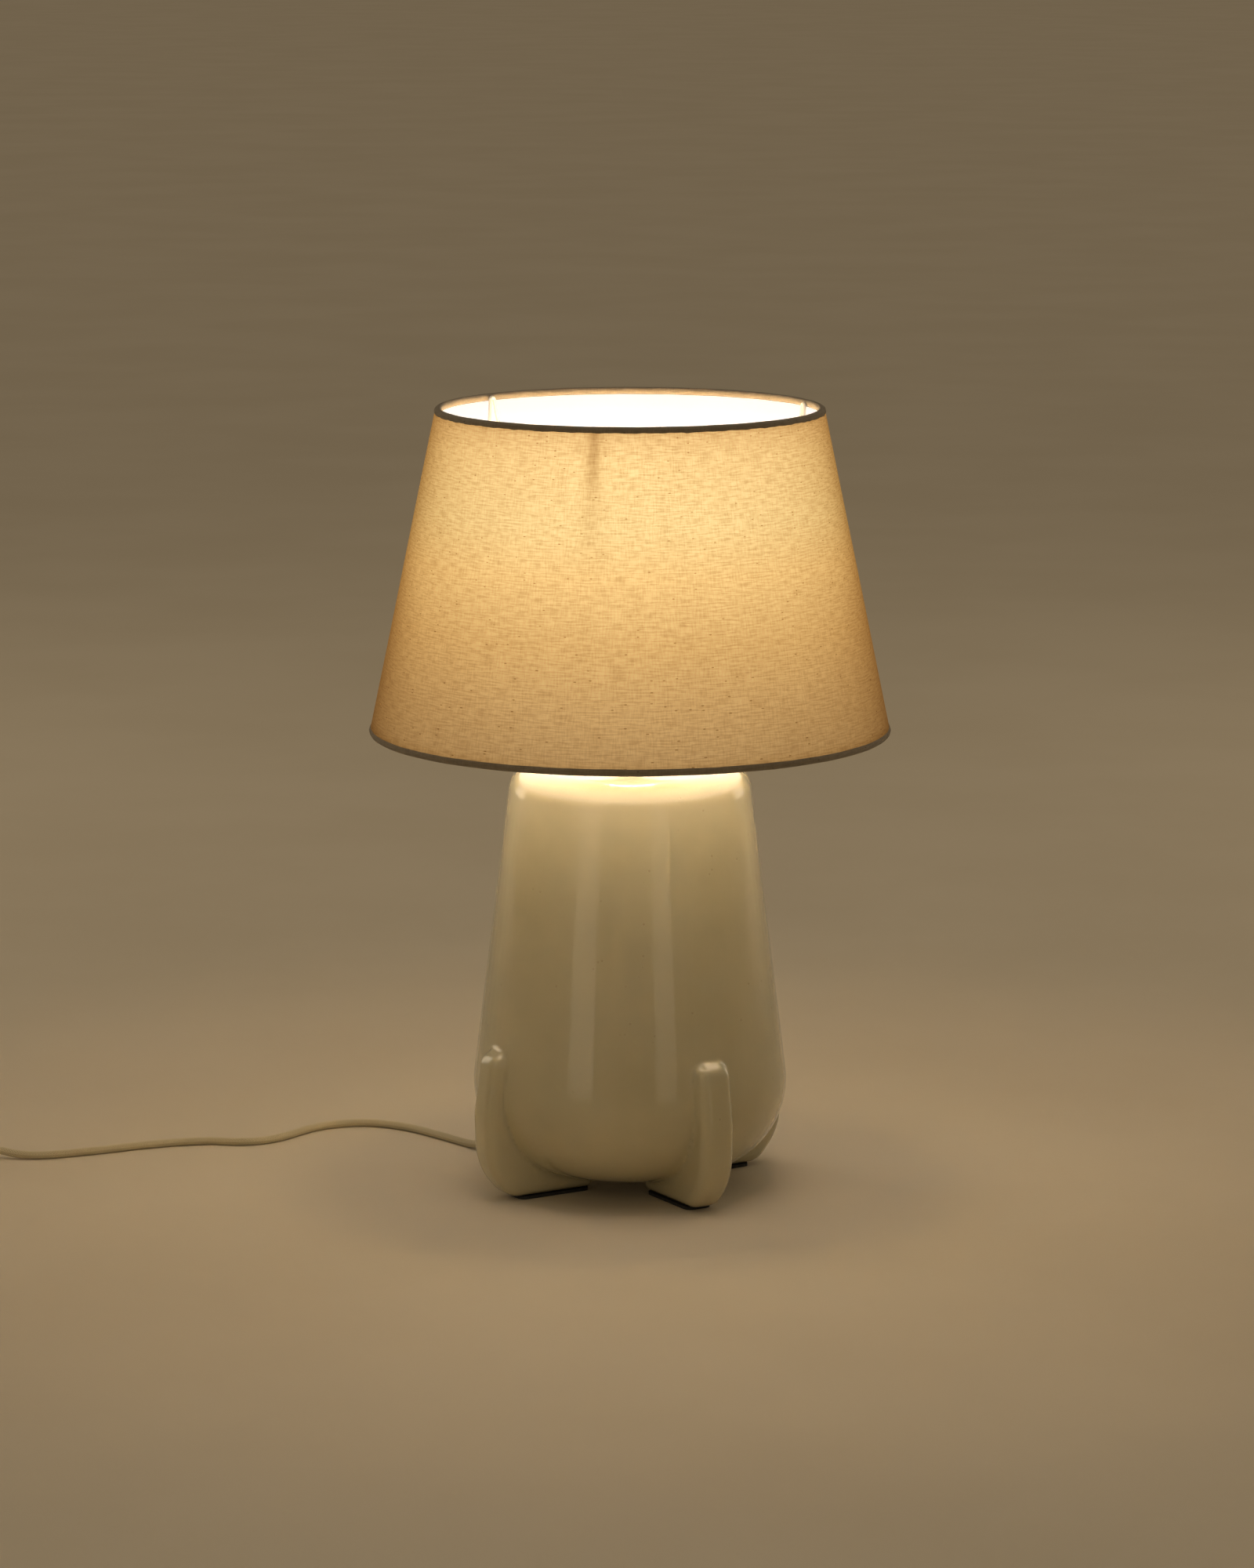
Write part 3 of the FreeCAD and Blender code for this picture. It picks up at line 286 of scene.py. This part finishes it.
def flecks(paint, scale, size, share):
    """Short brown bits of stalk: one in a few cells, longer along the thread."""
    spot = paint.scaled(paint.cloth, (0.4, 1, 1))
    cells = {"Vector": spot, "Scale": scale}
    near = paint.add("ShaderNodeTexVoronoi", cells, "Distance", voronoi_dimensions="2D")
    dice = paint.add("ShaderNodeTexVoronoi", cells, "Color", voronoi_dimensions="2D")
    chosen = paint.ramp(paint.parts(dice)[0], share, share * 0.96)
    return paint.calc("MULTIPLY", paint.ramp(near, size, 0.5 * size), chosen)


def linen_colour(paint, light, dark):
    """Streaks that run around, streaks that run up, flecks, and the colour that they give."""
    level, upright = slubs(paint, 1000, 95)
    colour = paint.mix(paint.calc("MULTIPLY", level, 0.55), light, dark)
    colour = paint.mix(paint.calc("MULTIPLY", upright, 0.35), colour, dark)
    coarse, fine = flecks(paint, 150, 0.075, 0.06), flecks(paint, 330, 0.15, 0.06)
    bits = paint.calc("MAXIMUM", coarse, fine)
    return level, upright, bits, colour


# The glow of the linen up the shade: share of the height, then red, green and blue.
GLOW = (
    (0.00, 0.48, 0.300, 0.117),
    (0.17, 0.70, 0.450, 0.180),
    (0.36, 0.98, 0.645, 0.255),
    (0.56, 1.36, 0.970, 0.430),
    (0.72, 1.42, 1.100, 0.540),
    (0.92, 1.43, 1.070, 0.520),
    (1.00, 1.25, 0.870, 0.400),
)


def glow_colour(paint, z, low, high):
    rise = paint.add("ShaderNodeMapRange", {0: z, 1: low, 2: high})
    glow = paint.add("ShaderNodeValToRGB", {0: rise})
    stops = glow.node.color_ramp.elements
    for position, *_ in GLOW[1:-1]:
        stops.new(position)
    for stop, (position, *rgb) in zip(stops, GLOW):
        stop.position = position
        stop.color = (*rgb, 1)
    return glow


def linen(arms, low, high):
    """Natural linen lit from inside: the glow is strongest beside and above the bulb.

    The tinted coat takes more of the glow at a grazing angle, which darkens the shade's
    edges. Threads, flecks and the arms' shadows dim red less and blue more."""
    paint = Paint("linen", {
        "Sheen Weight": 0.20, "Sheen Roughness": 0.45, "Sheen Tint": (0.62, 0.50, 0.36),
        "Specular IOR Level": 0.25, "Emission Strength": 1.0, "Coat Weight": 1.0,
        "Coat Roughness": 1.0, "Coat IOR": 1.03, "Coat Tint": (0.73, 0.67, 0.58),
    })
    pale, dark, stalk = (0.76, 0.70, 0.61), (0.58, 0.51, 0.42), (0.16, 0.10, 0.05)
    level, upright, bits, colour = linen_colour(paint, pale, dark)
    colour = paint.mix(paint.calc("MULTIPLY", bits, 0.8), colour, stalk)
    x, y, z = paint.parts(paint.place)
    glow = glow_colour(paint, z, low, high)
    streaks_up = paint.calc("MULTIPLY_ADD", upright, -0.17, 1.07)
    streaks = paint.calc("MULTIPLY_ADD", level, -0.29, streaks_up)
    shadow = arm_shadows(paint, arms, x, y, z, low, high)
    patches = paint.ramp(paint.noise(14, 2, paint.cloth), 0.3, 0.75, 1.02, 0.95)
    grid = threads(paint, 0.65 * MM)
    patches = paint.calc("MULTIPLY", patches, paint.ramp(grid, 0.0, 1.0, 0.86, 1.04))
    strength = paint.calc("MULTIPLY", paint.calc("MULTIPLY", streaks, shadow), patches)
    strength = paint.calc("MULTIPLY", strength, paint.calc("MULTIPLY_ADD", bits, -0.45, 1.0))
    red, blue = (paint.calc("POWER", strength, power) for power in (0.75, 1.35))
    dimmed = paint.add("ShaderNodeCombineColor", {0: red, 1: strength, 2: blue})
    lit = paint.mix(1.0, glow, dimmed, "MULTIPLY")
    paint.feed(paint.shader.inputs["Emission Color"], lit)
    weave = paint.bump(grid, 0.00022, 0.55)
    lumps = paint.bump(paint.calc("ADD", level, upright), 0.00016, 0.5, over=weave)
    return paint.finish(colour, 0.9, lumps)


def arm_shadows(paint, arms, x, y, z, low, high):
    """Each wire arm dims the cloth a little where it comes close to it, under the top ring.

    A broad shadow fades in upwards from below the middle of the shade, and a narrow one
    lies just under the ring."""
    broad_depth, broad_reach = 0.22, 0.085
    narrow_depth, narrow_reach, narrow_core = 0.24, 0.040, 0.005
    angle = paint.calc("ARCTAN2", y, x)
    span = high - low
    fade = paint.ramp(z, low + 0.42 * span, high - 0.02 * span, 0.0, broad_depth)
    near_ring = paint.ramp(z, high - 0.22 * span, high - 0.03 * span, 0.0, narrow_depth)
    shadow = 1.0
    for arm in arms:
        away = paint.calc("WRAP", paint.calc("SUBTRACT", angle, arm), math.pi, -math.pi)
        away = paint.calc("ABSOLUTE", away)
        broad = paint.calc("MULTIPLY", paint.ramp(away, broad_reach, 0.0), fade)
        narrow = paint.ramp(away, narrow_reach, narrow_core)
        narrow = paint.calc("MULTIPLY", narrow, near_ring)
        shadow = paint.calc("SUBTRACT", shadow, paint.calc("ADD", broad, narrow))
    return shadow


def hem_cloth():
    """The rolled edge: the same linen, doubled over the wire, so no light comes through. Its
    colours are painted much darker than the linen's, a painted shade.
    """
    # Painted shade: these linen colours are darkened so that the hem looks unlit.
    pale, dark, stalk = (0.33, 0.27, 0.19), (0.21, 0.165, 0.11), (0.09, 0.06, 0.03)
    paint = Paint("hem", {"Sheen Weight": 0.25, "Sheen Roughness": 0.5, "Specular IOR Level": 0.2})
    *_, bits, colour = linen_colour(paint, pale, dark)
    colour = paint.mix(paint.calc("MULTIPLY", bits, 0.7), colour, stalk)
    weave = paint.bump(threads(paint, 0.7 * MM), 0.0003, 0.8)
    return paint.finish(colour, 0.92, weave)


def liner():
    """White laminate with a faint grain, glued to the linen and lit by the bulb, with painted
    light glowing from it as well.
    """
    white, creamy, lit = (0.92, 0.90, 0.85), (0.88, 0.85, 0.79), (0.88, 0.91, 1.0)
    # Painted light: the liner glows by itself, as if lit by the bulb's light bounced round inside
    # the shade.
    paint = Paint("liner", {"IOR": 1.45, "Emission Color": lit, "Emission Strength": 0.60})
    shade = paint.mix(paint.ramp(paint.noise(30, 3), 0.3, 0.7), white, creamy)
    gloss = paint.ramp(paint.noise(150, 2), 0.3, 0.7, 0.42, 0.6)
    return paint.finish(shade, gloss, paint.bump(paint.noise(700, 2), 0.00006, 0.5))


def braid(name, light, dark):
    """Braided textile: two sets of strands that cross round the cord, with painted shade between
    them.
    """
    paint = Paint(name, {"Sheen Weight": 0.35, "Sheen Roughness": 0.4, "Specular IOR Level": 0.25})
    along, around, _ = paint.parts(paint.cloth)
    strand = 2.0 * MM
    rate = TURN / strand
    lengthwise = paint.calc("MULTIPLY", along, rate)
    crosswise = paint.calc("MULTIPLY", around, rate)
    one = paint.calc("SINE", paint.calc("ADD", lengthwise, crosswise))
    two = paint.calc("SINE", paint.calc("SUBTRACT", lengthwise, crosswise))
    strands = paint.calc("MAXIMUM", one, two)
    height = paint.ramp(strands, -0.4, 1.0)
    fuzz = paint.noise(1, 3, paint.cloth, (2200, 700, 1))
    # Painted shade: the strands' low parts are coloured darker.
    colour = paint.mix(height, dark, light)
    colour = paint.mix(paint.ramp(fuzz, 0.45, 0.8, 0.0, 0.5), colour, dark)
    colour = paint.mix(paint.ramp(paint.noise(18, 3), 0.4, 0.75, 0.0, 0.35), colour, dark)
    weave = paint.bump(height, 0.0004, 0.85)
    lint = paint.bump(fuzz, 0.0001, 0.5, over=weave)
    return paint.finish(colour, 0.86, lint)


def strap():
    """Woven hook-and-loop tape: ribs across it and soft loops over them."""
    paint = Paint("tie", {"Sheen Weight": 0.4, "Sheen Roughness": 0.5, "Specular IOR Level": 0.2})
    dark, pale = (0.34, 0.31, 0.26), (0.52, 0.49, 0.42)
    loops = paint.noise(900, 3)
    colour = paint.mix(paint.ramp(loops, 0.35, 0.7), dark, pale)
    rib = 0.9 * MM
    height = paint.parts(paint.place)[2]
    ribs = paint.calc("SINE", paint.calc("MULTIPLY", height, TURN / rib))
    weave = paint.bump(ribs, 0.0001, 0.4)
    return paint.finish(colour, 0.93, paint.bump(loops, 0.0004, 0.8, over=weave))


def opal():
    """The lit globe: even light, a touch dimmer towards its neck."""
    milky, lit = (0.95, 0.93, 0.88), (1.0, 0.69, 0.34)
    paint = Paint("bulb_opal", {"Base Color": milky, "Emission Color": lit, "IOR": 1.45})
    height = paint.parts(paint.place)[2]
    low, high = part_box("bulb_globe")
    middle = high.z - 0.5 * (high.z - low.z)
    neck_power, ball_power = 52.0, 66.0
    power = paint.ramp(height, low.z, middle, neck_power, ball_power)
    paint.feed(paint.shader.inputs["Emission Strength"], power)
    gloss = paint.ramp(paint.noise(60, 2), 0.3, 0.7, 0.3, 0.42)
    return paint.finish(None, gloss, paint.bump(paint.noise(900, 2), 0.00003, 0.4))


def steatite():
    """The lampholder's unglazed white ceramic."""
    white, grey = (0.84, 0.82, 0.76), (0.72, 0.69, 0.62)
    paint = Paint("insert_ceramic", {"IOR": 1.5})
    shade = paint.mix(paint.ramp(paint.noise(300, 4), 0.4, 0.7), white, grey)
    return paint.finish(shade, 0.7, paint.bump(paint.noise(900, 3), 0.0001, 0.6))


def arm_azimuths():
    """Where the three wire arms stand around the lamp's axis, in radians."""
    spots = [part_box(f"arm_{side}") for side in ("right", "left", "front")]
    middles = [(low + high) / 2 for low, high in spots]
    return [math.atan2(m.y, m.x) for m in middles]


def make_materials():
    low, high = (corner.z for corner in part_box("shade_linen"))
    ivory = (0.80, 0.74, 0.60)
    white = (0.85, 0.83, 0.77)
    return {
        "glaze": glaze(),
        "foot_pad": rubber("foot_pad", (0.030, 0.030, 0.030)),
        "relief": moulded("relief", (0.78, 0.72, 0.56), 0.5, 700, 0.00006),
        "gasket": rubber("gasket", (0.06, 0.06, 0.06)),
        "steel": metal("steel", (0.66, 0.63, 0.58), 0.32, (1, 1, 40)),
        "holder_plastic": moulded("holder_plastic", white, 0.3),
        "insert_ceramic": steatite(),
        "contact_brass": metal("contact_brass", (0.82, 0.60, 0.26), 0.3),
        "core_brown": moulded("core_brown", (0.16, 0.07, 0.03), 0.45),
        "core_blue": moulded("core_blue", (0.04, 0.13, 0.42), 0.45),
        "white_wire": powder_coat(),
        "linen": linen(arm_azimuths(), low, high),
        "hem": hem_cloth(),
        "liner": liner(),
        "bulb_metal": metal("bulb_metal", (0.80, 0.80, 0.78), 0.28, (1, 1, 25)),
        "bulb_black": moulded("bulb_black", (0.02, 0.02, 0.02), 0.2),
        "bulb_collar": moulded("bulb_collar", (0.88, 0.86, 0.80), 0.42),
        "bulb_opal": opal(),
        "cord_textile": braid("cord_textile", (0.80, 0.72, 0.50), (0.50, 0.42, 0.25)),
        "tie": strap(),
        "switch_plastic": moulded("switch_plastic", ivory, 0.32, coat=0.2),
        "screw_steel": metal("screw_steel", (0.62, 0.62, 0.60), 0.35, (40, 1, 1), 90),
        "plug_plastic": moulded("plug_plastic", ivory, 0.34, coat=0.15),
        "pin_nickel": metal("pin_nickel", (0.82, 0.79, 0.72), 0.16, (1, 30, 1)),
        "pin_sleeve": moulded("pin_sleeve", (0.50, 0.47, 0.41), 0.5),
    }


# ---- meshes ---------------------------------------------------------------------------


def piece(name, points, faces, spots, slot, body):
    """A smooth mesh piece. spots gives each point's place on the cloth, in metres."""
    mesh = bpy.data.meshes.new(name)
    mesh.from_pydata([tuple(p) for p in points], [], faces)
    layer = mesh.uv_layers.new(name="cloth")
    for loop in mesh.loops:
        layer.data[loop.index].uv = spots[loop.vertex_index]
    mesh.materials.append(MATERIALS[slot])
    mesh.shade_smooth()
    thing = bpy.data.objects.new(name, mesh)
    bpy.context.scene.collection.objects.link(thing)
    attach(thing, body)
    return thing


def grid_faces(rows, columns, closed):
    """Quads over rows of points. A closed grid joins its last row to its first."""
    faces = []
    for i in range(rows if closed else rows - 1):
        for j in range(columns - 1):
            a = i * columns + j
            b = (i + 1) % rows * columns + j
            faces.append((a, b, b + 1, a + 1))
    return faces


def turned(name, outline, count, slot, body, wobble=None):
    """A surface of revolution. outline is (radius, height) from first to last point."""
    lengths = [0.0]
    for (r0, z0), (r1, z1) in zip(outline, outline[1:]):
        lengths.append(lengths[-1] + math.hypot(r1 - r0, z1 - z0))
    middle = sum(r for r, z in outline) / len(outline)
    points, spots = [], []
    for i in range(count):
        angle = TURN * i / count
        for (r, z), length in zip(outline, lengths):
            out, up = wobble(angle, length) if wobble else (0.0, 0.0)
            points.append(((r + out) * math.cos(angle), (r + out) * math.sin(angle), z + up))
            spots.append((angle * middle, length))
    faces = grid_faces(count, len(outline), True)
    return piece(name, points, faces, spots, slot, body)


# ---- cord -----------------------------------------------------------------------------

CORD = 5.5 * MM
CORD_SIDES = 14
CORD_STEP = 2.2 * MM
CORD_UNEVEN = 0.03
COIL_CENTRE = (-0.506, -0.024)
COIL_POINTS = 16
LYING = CORD / 2  # height of the cord's centre line where it lies on the table

EXIT = (-0.08805, 0.06635, 0.01741)
LEAD_ROUTE = [
    (-0.0941, 0.0709, 0.0109),
    (-0.1008, 0.0769, 0.0064),
    (-0.1106, 0.0885, LYING),
    (-0.1290, 0.1100, LYING),
    (-0.1570, 0.1410, LYING),
    (-0.1900, 0.1565, LYING),
    (-0.2230, 0.1420, LYING),
    (-0.2430, 0.1120, LYING),
    (-0.2565, 0.0995, LYING),
    (-0.2760, 0.0955, LYING),
    (-0.2970, 0.1010, LYING),
    (-0.3330, 0.0910, LYING),
    (-0.3780, 0.0680, LYING),
    (-0.4080, 0.0570, LYING),
    (-0.4260, 0.0584, 0.0032),
    (-0.4388, 0.0600, 0.0063),
]
SWITCH_ENTRY = (-0.45057, 0.05788, 0.007)
SWITCH_LEAVING = (-0.51163, 0.04712, 0.007)
LINK_ROUTE = [
    (-0.5224, 0.0452, 0.0068),
    (-0.5320, 0.0397, 0.0058),
    (-0.5390, 0.0313, 0.0047),
    (-0.5428, 0.0210, 0.00395),
    (-0.5432, 0.0055, 0.00375),
    (-0.5428, -0.0095, 0.00375),
]
TAIL_ROUTE = [
    (-0.5470, -0.0440, 0.0075),
    (-0.5400, -0.0650, 0.0070),
]
PLUG_REAR = (-0.538, -0.085, 0.007)


def coil_route():
    """Three turns inwards on the table and three outwards on top of them.

    The turns step from one radius to the next in the last sixth of each turn, where the
    innermost one climbs and bows in a little to clear its neighbours."""
    radii = [36.85 * MM, 31.3 * MM, 25.75 * MM]
    outermost = 42.4 * MM
    levels = (3.75 * MM, 9.25 * MM)
    bow = 2.3 * MM
    stages = [*radii, *reversed(radii), outermost]
    shrink = math.cos(math.pi / COIL_POINTS)
    points = []
    layer = len(radii)
    for turn in range(2 * layer):
        for i in range(COIL_POINTS):
            share = i / COIL_POINTS
            step = min(max((share - 5 / 6) * 6, 0.0), 1.0)
            step = step * step * (3 - 2 * step)
            radius = stages[turn] + (stages[turn + 1] - stages[turn]) * step
            height = levels[0] if turn < layer else levels[1]
            if turn == layer - 1:
                height += (levels[1] - levels[0]) * step
                radius -= 4 * bow * step * (1 - step)
            angle = math.pi + TURN * share
            x = COIL_CENTRE[0] + radius / shrink * math.cos(angle)
            y = COIL_CENTRE[1] + radius / shrink * math.sin(angle)
            points.append((x, y, height))
    end = (COIL_CENTRE[0] - outermost, COIL_CENTRE[1], levels[1])
    return [*points, end]


def route_line(points):
    """The smooth line along a route, read from its own spline."""
    curve = bpy.data.curves.new("route", "CURVE")
    curve.dimensions = "3D"
    spline = curve.splines.new("NURBS")
    spline.points.add(len(points) - 1)
    for place, point in zip(spline.points, points):
        place.co = (*point, 1)
    spline.order_u = 3
    spline.use_endpoint_u = True
    spline.resolution_u = 12
    holder = bpy.data.objects.new("route", curve)
    mesh = bpy.data.meshes.new_from_object(holder)
    line = [v.co.copy() for v in mesh.vertices]
    bpy.data.objects.remove(holder)
    return line


def spaced(line, step):
    """Points along a line, one step apart, with its own two ends."""
    out = [line[0]]
    left = step
    for a, b in zip(line, line[1:]):
        length = (b - a).length
        while length > 0 and left <= length:
            out.append(a.lerp(b, left / length))
            left += step
        left -= length
    if (out[-1] - line[-1]).length < 0.3 * step:
        out.pop()
    return [*out, line[-1]]


def swept(name, line, radius, sides, slot, body, wobble):
    """A round tube along a line, with closed ends. wobble is how uneven its girth is."""
    points, spots = [], []
    along = (line[1] - line[0]).normalized()
    side = along.orthogonal().normalized()
    travelled = 0.0
    for i, spot in enumerate(line):
        ahead = (line[min(i + 1, len(line) - 1)] - line[max(i - 1, 0)]).normalized()
        side = (side - ahead * side.dot(ahead)).normalized()
        up = ahead.cross(side)
        travelled += (spot - line[i - 1]).length if i else 0.0
        girth = radius * (1 + wobble * (random.random() - 0.5))
        for j in range(sides + 1):
            angle = TURN * j / sides
            points.append(spot + (side * math.cos(angle) + up * math.sin(angle)) * girth)
            spots.append((travelled, TURN * radius * j / sides))
    faces = grid_faces(len(line), sides + 1, False)
    last = len(points) - sides - 1
    faces.append(tuple(reversed(range(sides))))
    faces.append(tuple(range(last, last + sides)))
    return piece(name, points, faces, spots, slot, body)


def make_cord():
    route = [EXIT, *LEAD_ROUTE, SWITCH_ENTRY, SWITCH_LEAVING, *LINK_ROUTE, *coil_route(),
             *TAIL_ROUTE, PLUG_REAR]
    line = spaced(route_line(route), CORD_STEP)
    cord = swept("cord", line, CORD / 2, CORD_SIDES, "cord_textile", "base", CORD_UNEVEN)
    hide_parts("cord_lead", "cord_link", "cord_coil", "cord_tail")


# ---- shade ----------------------------------------------------------------------------


def wire_ring(place):
    """Radius and height of a ring's centre line, and half the thickness of its wire."""
    low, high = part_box(f"{place}_ring")
    wire = (high.z - low.z) / 2
    return high.x - wire, (high.z + low.z) / 2, wire


def cone(low, high):
    """Radii, at two heights, of the cone through the centre lines of both rings."""
    (bottom, start, _), (top, end, _) = wire_ring("bottom"), wire_ring("top")
    fall = (bottom - top) / (end - start)
    return [bottom - fall * (z - start) for z in (low, high)]


def make_linen():
    """One strip of cloth round the cone, its end lapped over its start at the back."""
    low, high = (wire_ring(end)[1] for end in ("bottom", "top"))
    bottom, top = cone(low, high)
    face, thickness = 2.3 * MM, 0.5 * MM
    lap, lift, slack = 12 * MM, 0.55 * MM, 0.12 * MM
    rows, columns = 24, 300
    lap_turn = lap / bottom
    start = math.radians(90)
    points, spots = [], []
    for i in range(columns + 1):
        share = i / columns
        angle = start + (TURN + lap_turn) * share
        over = (TURN + lap_turn) * (share - 1) + lap_turn
        raised = min(max(over / (0.35 * lap_turn) + 1, 0.0), 1.0)
        for j in range(rows + 1):
            rise = j / rows
            ripple = slack * math.sin(7 * angle + 5 * rise) * math.sin(math.pi * rise)
            radius = bottom + (top - bottom) * rise + face + lift * raised + ripple
            x, y = radius * math.cos(angle), radius * math.sin(angle)
            points.append((x, y, low + (high - low) * rise))
            spots.append((angle * (bottom + top) / 2, rise * math.hypot(high - low, bottom - top)))
    faces = grid_faces(columns + 1, rows + 1, False)
    cloth = piece("linen_cover", points, faces, spots, "linen", "shade")
    skin = cloth.modifiers.new("thickness", "SOLIDIFY")
    skin.thickness = thickness
    skin.offset = -1
    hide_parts("shade_linen")
    return cloth


def make_liner():
    """The thin stiff sheet just inside the linen."""
    low, high = (corner.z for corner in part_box("shade_liner"))
    bottom, top = cone(low, high)
    inner, outer = 1.3 * MM, 1.65 * MM
    sides = 240
    outline = [(bottom + inner, low), (top + inner, high), (top + outer, high),
               (bottom + outer, low), (bottom + inner, low)]
    sheet = turned("white_liner", outline, sides, "liner", "shade")
    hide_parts("shade_liner")


def make_hem(place, opening, linen_side):
    """Cloth rolled round the wire ring. Its edge is tucked in at a slit, out of sight inside.

    opening is the direction of the slit in degrees, 0 outwards and 90 up. On the side where
    the linen comes in, above (1) or below (-1) the ring, the outer leg lies flat over it."""
    ring, height, wire = wire_ring(place)
    outer, inner = 2.5 * MM, wire + 0.1 * MM
    slit = math.radians(26)
    first = math.radians(opening) + slit / 2
    sweep = TURN - slit
    steps, sides = 22, 420
    bulge, flattened, rounded = 1.12, 0.4, 1.0
    outline = []
    for radius, order in ((outer, range(steps + 1)), (inner, range(steps, -1, -1))):
        for k in order:
            angle = first + sweep * k / steps
            out, up = math.cos(angle), math.sin(angle)
            if radius == outer and out > 0:
                out = bulge * out ** (flattened if up * linen_side > 0 else rounded)
            outline.append((ring + radius * out, height + radius * up))
    outline.append(outline[0])
    slub_width = 0.012
    bumps = [(random.uniform(0, TURN), random.uniform(0.1, 0.3) * MM) for _ in range(14)]

    def wobble(angle, length):
        """Fine waves round the hem, and a slub of the yarn here and there."""
        out = 0.07 * MM * math.sin(41 * angle + 900 * length) + 0.05 * MM * math.sin(97 * angle)
        for spot, size in bumps:
            away = (angle - spot + math.pi) % TURN - math.pi
            out += size * math.exp(-(away / slub_width) ** 2)
        return out, 0.05 * MM * math.sin(23 * angle + 2)

    hem = turned(f"{place}_rolled_hem", outline, sides, "hem", "shade", wobble)
    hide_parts(f"{place}_hem")
    return hem


def make_shade():
    cloth = make_linen()
    make_liner()
    hems = [make_hem("bottom", 115, 1), make_hem("top", 245, -1)]


# ---- body, bulb and floor -------------------------------------------------------------


def make_body():
    """The CAD body with its creases softened as a thick glaze leaves them."""
    source = frame["nodes"]["ceramic_body"]
    blank = bpy.data.objects.new("blank", source.data.copy())
    bpy.context.scene.collection.objects.link(blank)
    weld = blank.modifiers.new("weld", "WELD")
    weld.merge_threshold = 0.01 * MM
    remesh = blank.modifiers.new("remesh", "REMESH")
    remesh.mode = "VOXEL"
    remesh.voxel_size = 1.6 * MM
    soften = blank.modifiers.new("soften", "SMOOTH")
    soften.factor = 0.5
    soften.iterations = 4
    view = bpy.context.evaluated_depsgraph_get()
    mesh = bpy.data.meshes.new_from_object(blank.evaluated_get(view))
    bpy.data.objects.remove(blank)
    mesh.name = "glazed_body"
    mesh.materials.clear()
    mesh.materials.append(MATERIALS["glaze"])
    mesh.shade_smooth()
    body = bpy.data.objects.new("glazed_body", mesh)
    bpy.context.scene.collection.objects.link(body)
    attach(body, "base")
    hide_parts("ceramic_body")


def make_globe():
    """The bulb's opal ball, drawn in to a neck that stands in the collar."""
    low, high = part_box("bulb_globe")
    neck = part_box("bulb_collar")[1].x
    ball = high.x
    centre = high.z - ball
    join = math.radians(-18)
    axis, floor, wall = 0.01 * MM, low.z + 2 * MM, 1.5 * MM
    rim = (neck - 0.3 * MM, low.z)
    outline = [rim, (neck, low.z + 0.4 * MM)]
    steps, sides = 40, 96
    for i in range(steps + 1):
        angle = join + (math.pi / 2 - join) * i / steps
        outline.append((max(ball * math.cos(angle), axis), centre + ball * math.sin(angle)))
    outline += [(axis, floor), (neck - wall, floor), rim]
    globe = turned("opal_globe", outline, sides, "bulb_opal", "bulb")
    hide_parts("bulb_globe")


def paint_cad():
    """Every CAD part that stays gets its slot's material."""
    for part in frame["record"]["subparts"]:
        node = frame["nodes"][part["node"]]
        material = MATERIALS[part["material_slot"]]
        if not node.material_slots:
            node.data.materials.append(material)
        for slot in node.material_slots:
            slot.material = material


def make_floor():
    """A pale floor, so large that its edges stay out of the camera's frame."""
    pale, dull = (0.70, 0.62, 0.49), (0.67, 0.59, 0.46)
    paint = Paint("floor", {"Specular IOR Level": 0.3})
    shade = paint.mix(paint.ramp(paint.noise(3, 4), 0.3, 0.7), pale, dull)
    material = paint.finish(shade, 0.75, paint.bump(paint.noise(300, 3), 0.0002, 0.3))
    half = 40
    corners = [(-half, -half, 0), (half, -half, 0), (half, half, 0), (-half, half, 0)]
    mesh = bpy.data.meshes.new("floor")
    mesh.from_pydata(corners, [], [(0, 1, 2, 3)])
    mesh.materials.append(material)
    floor = bpy.data.objects.new("floor", mesh)
    bpy.context.scene.collection.objects.link(floor)


make_camera()
MATERIALS = make_materials()
make_cord()
make_light()
make_floor()
make_shade()
make_body()
make_globe()
paint_cad()
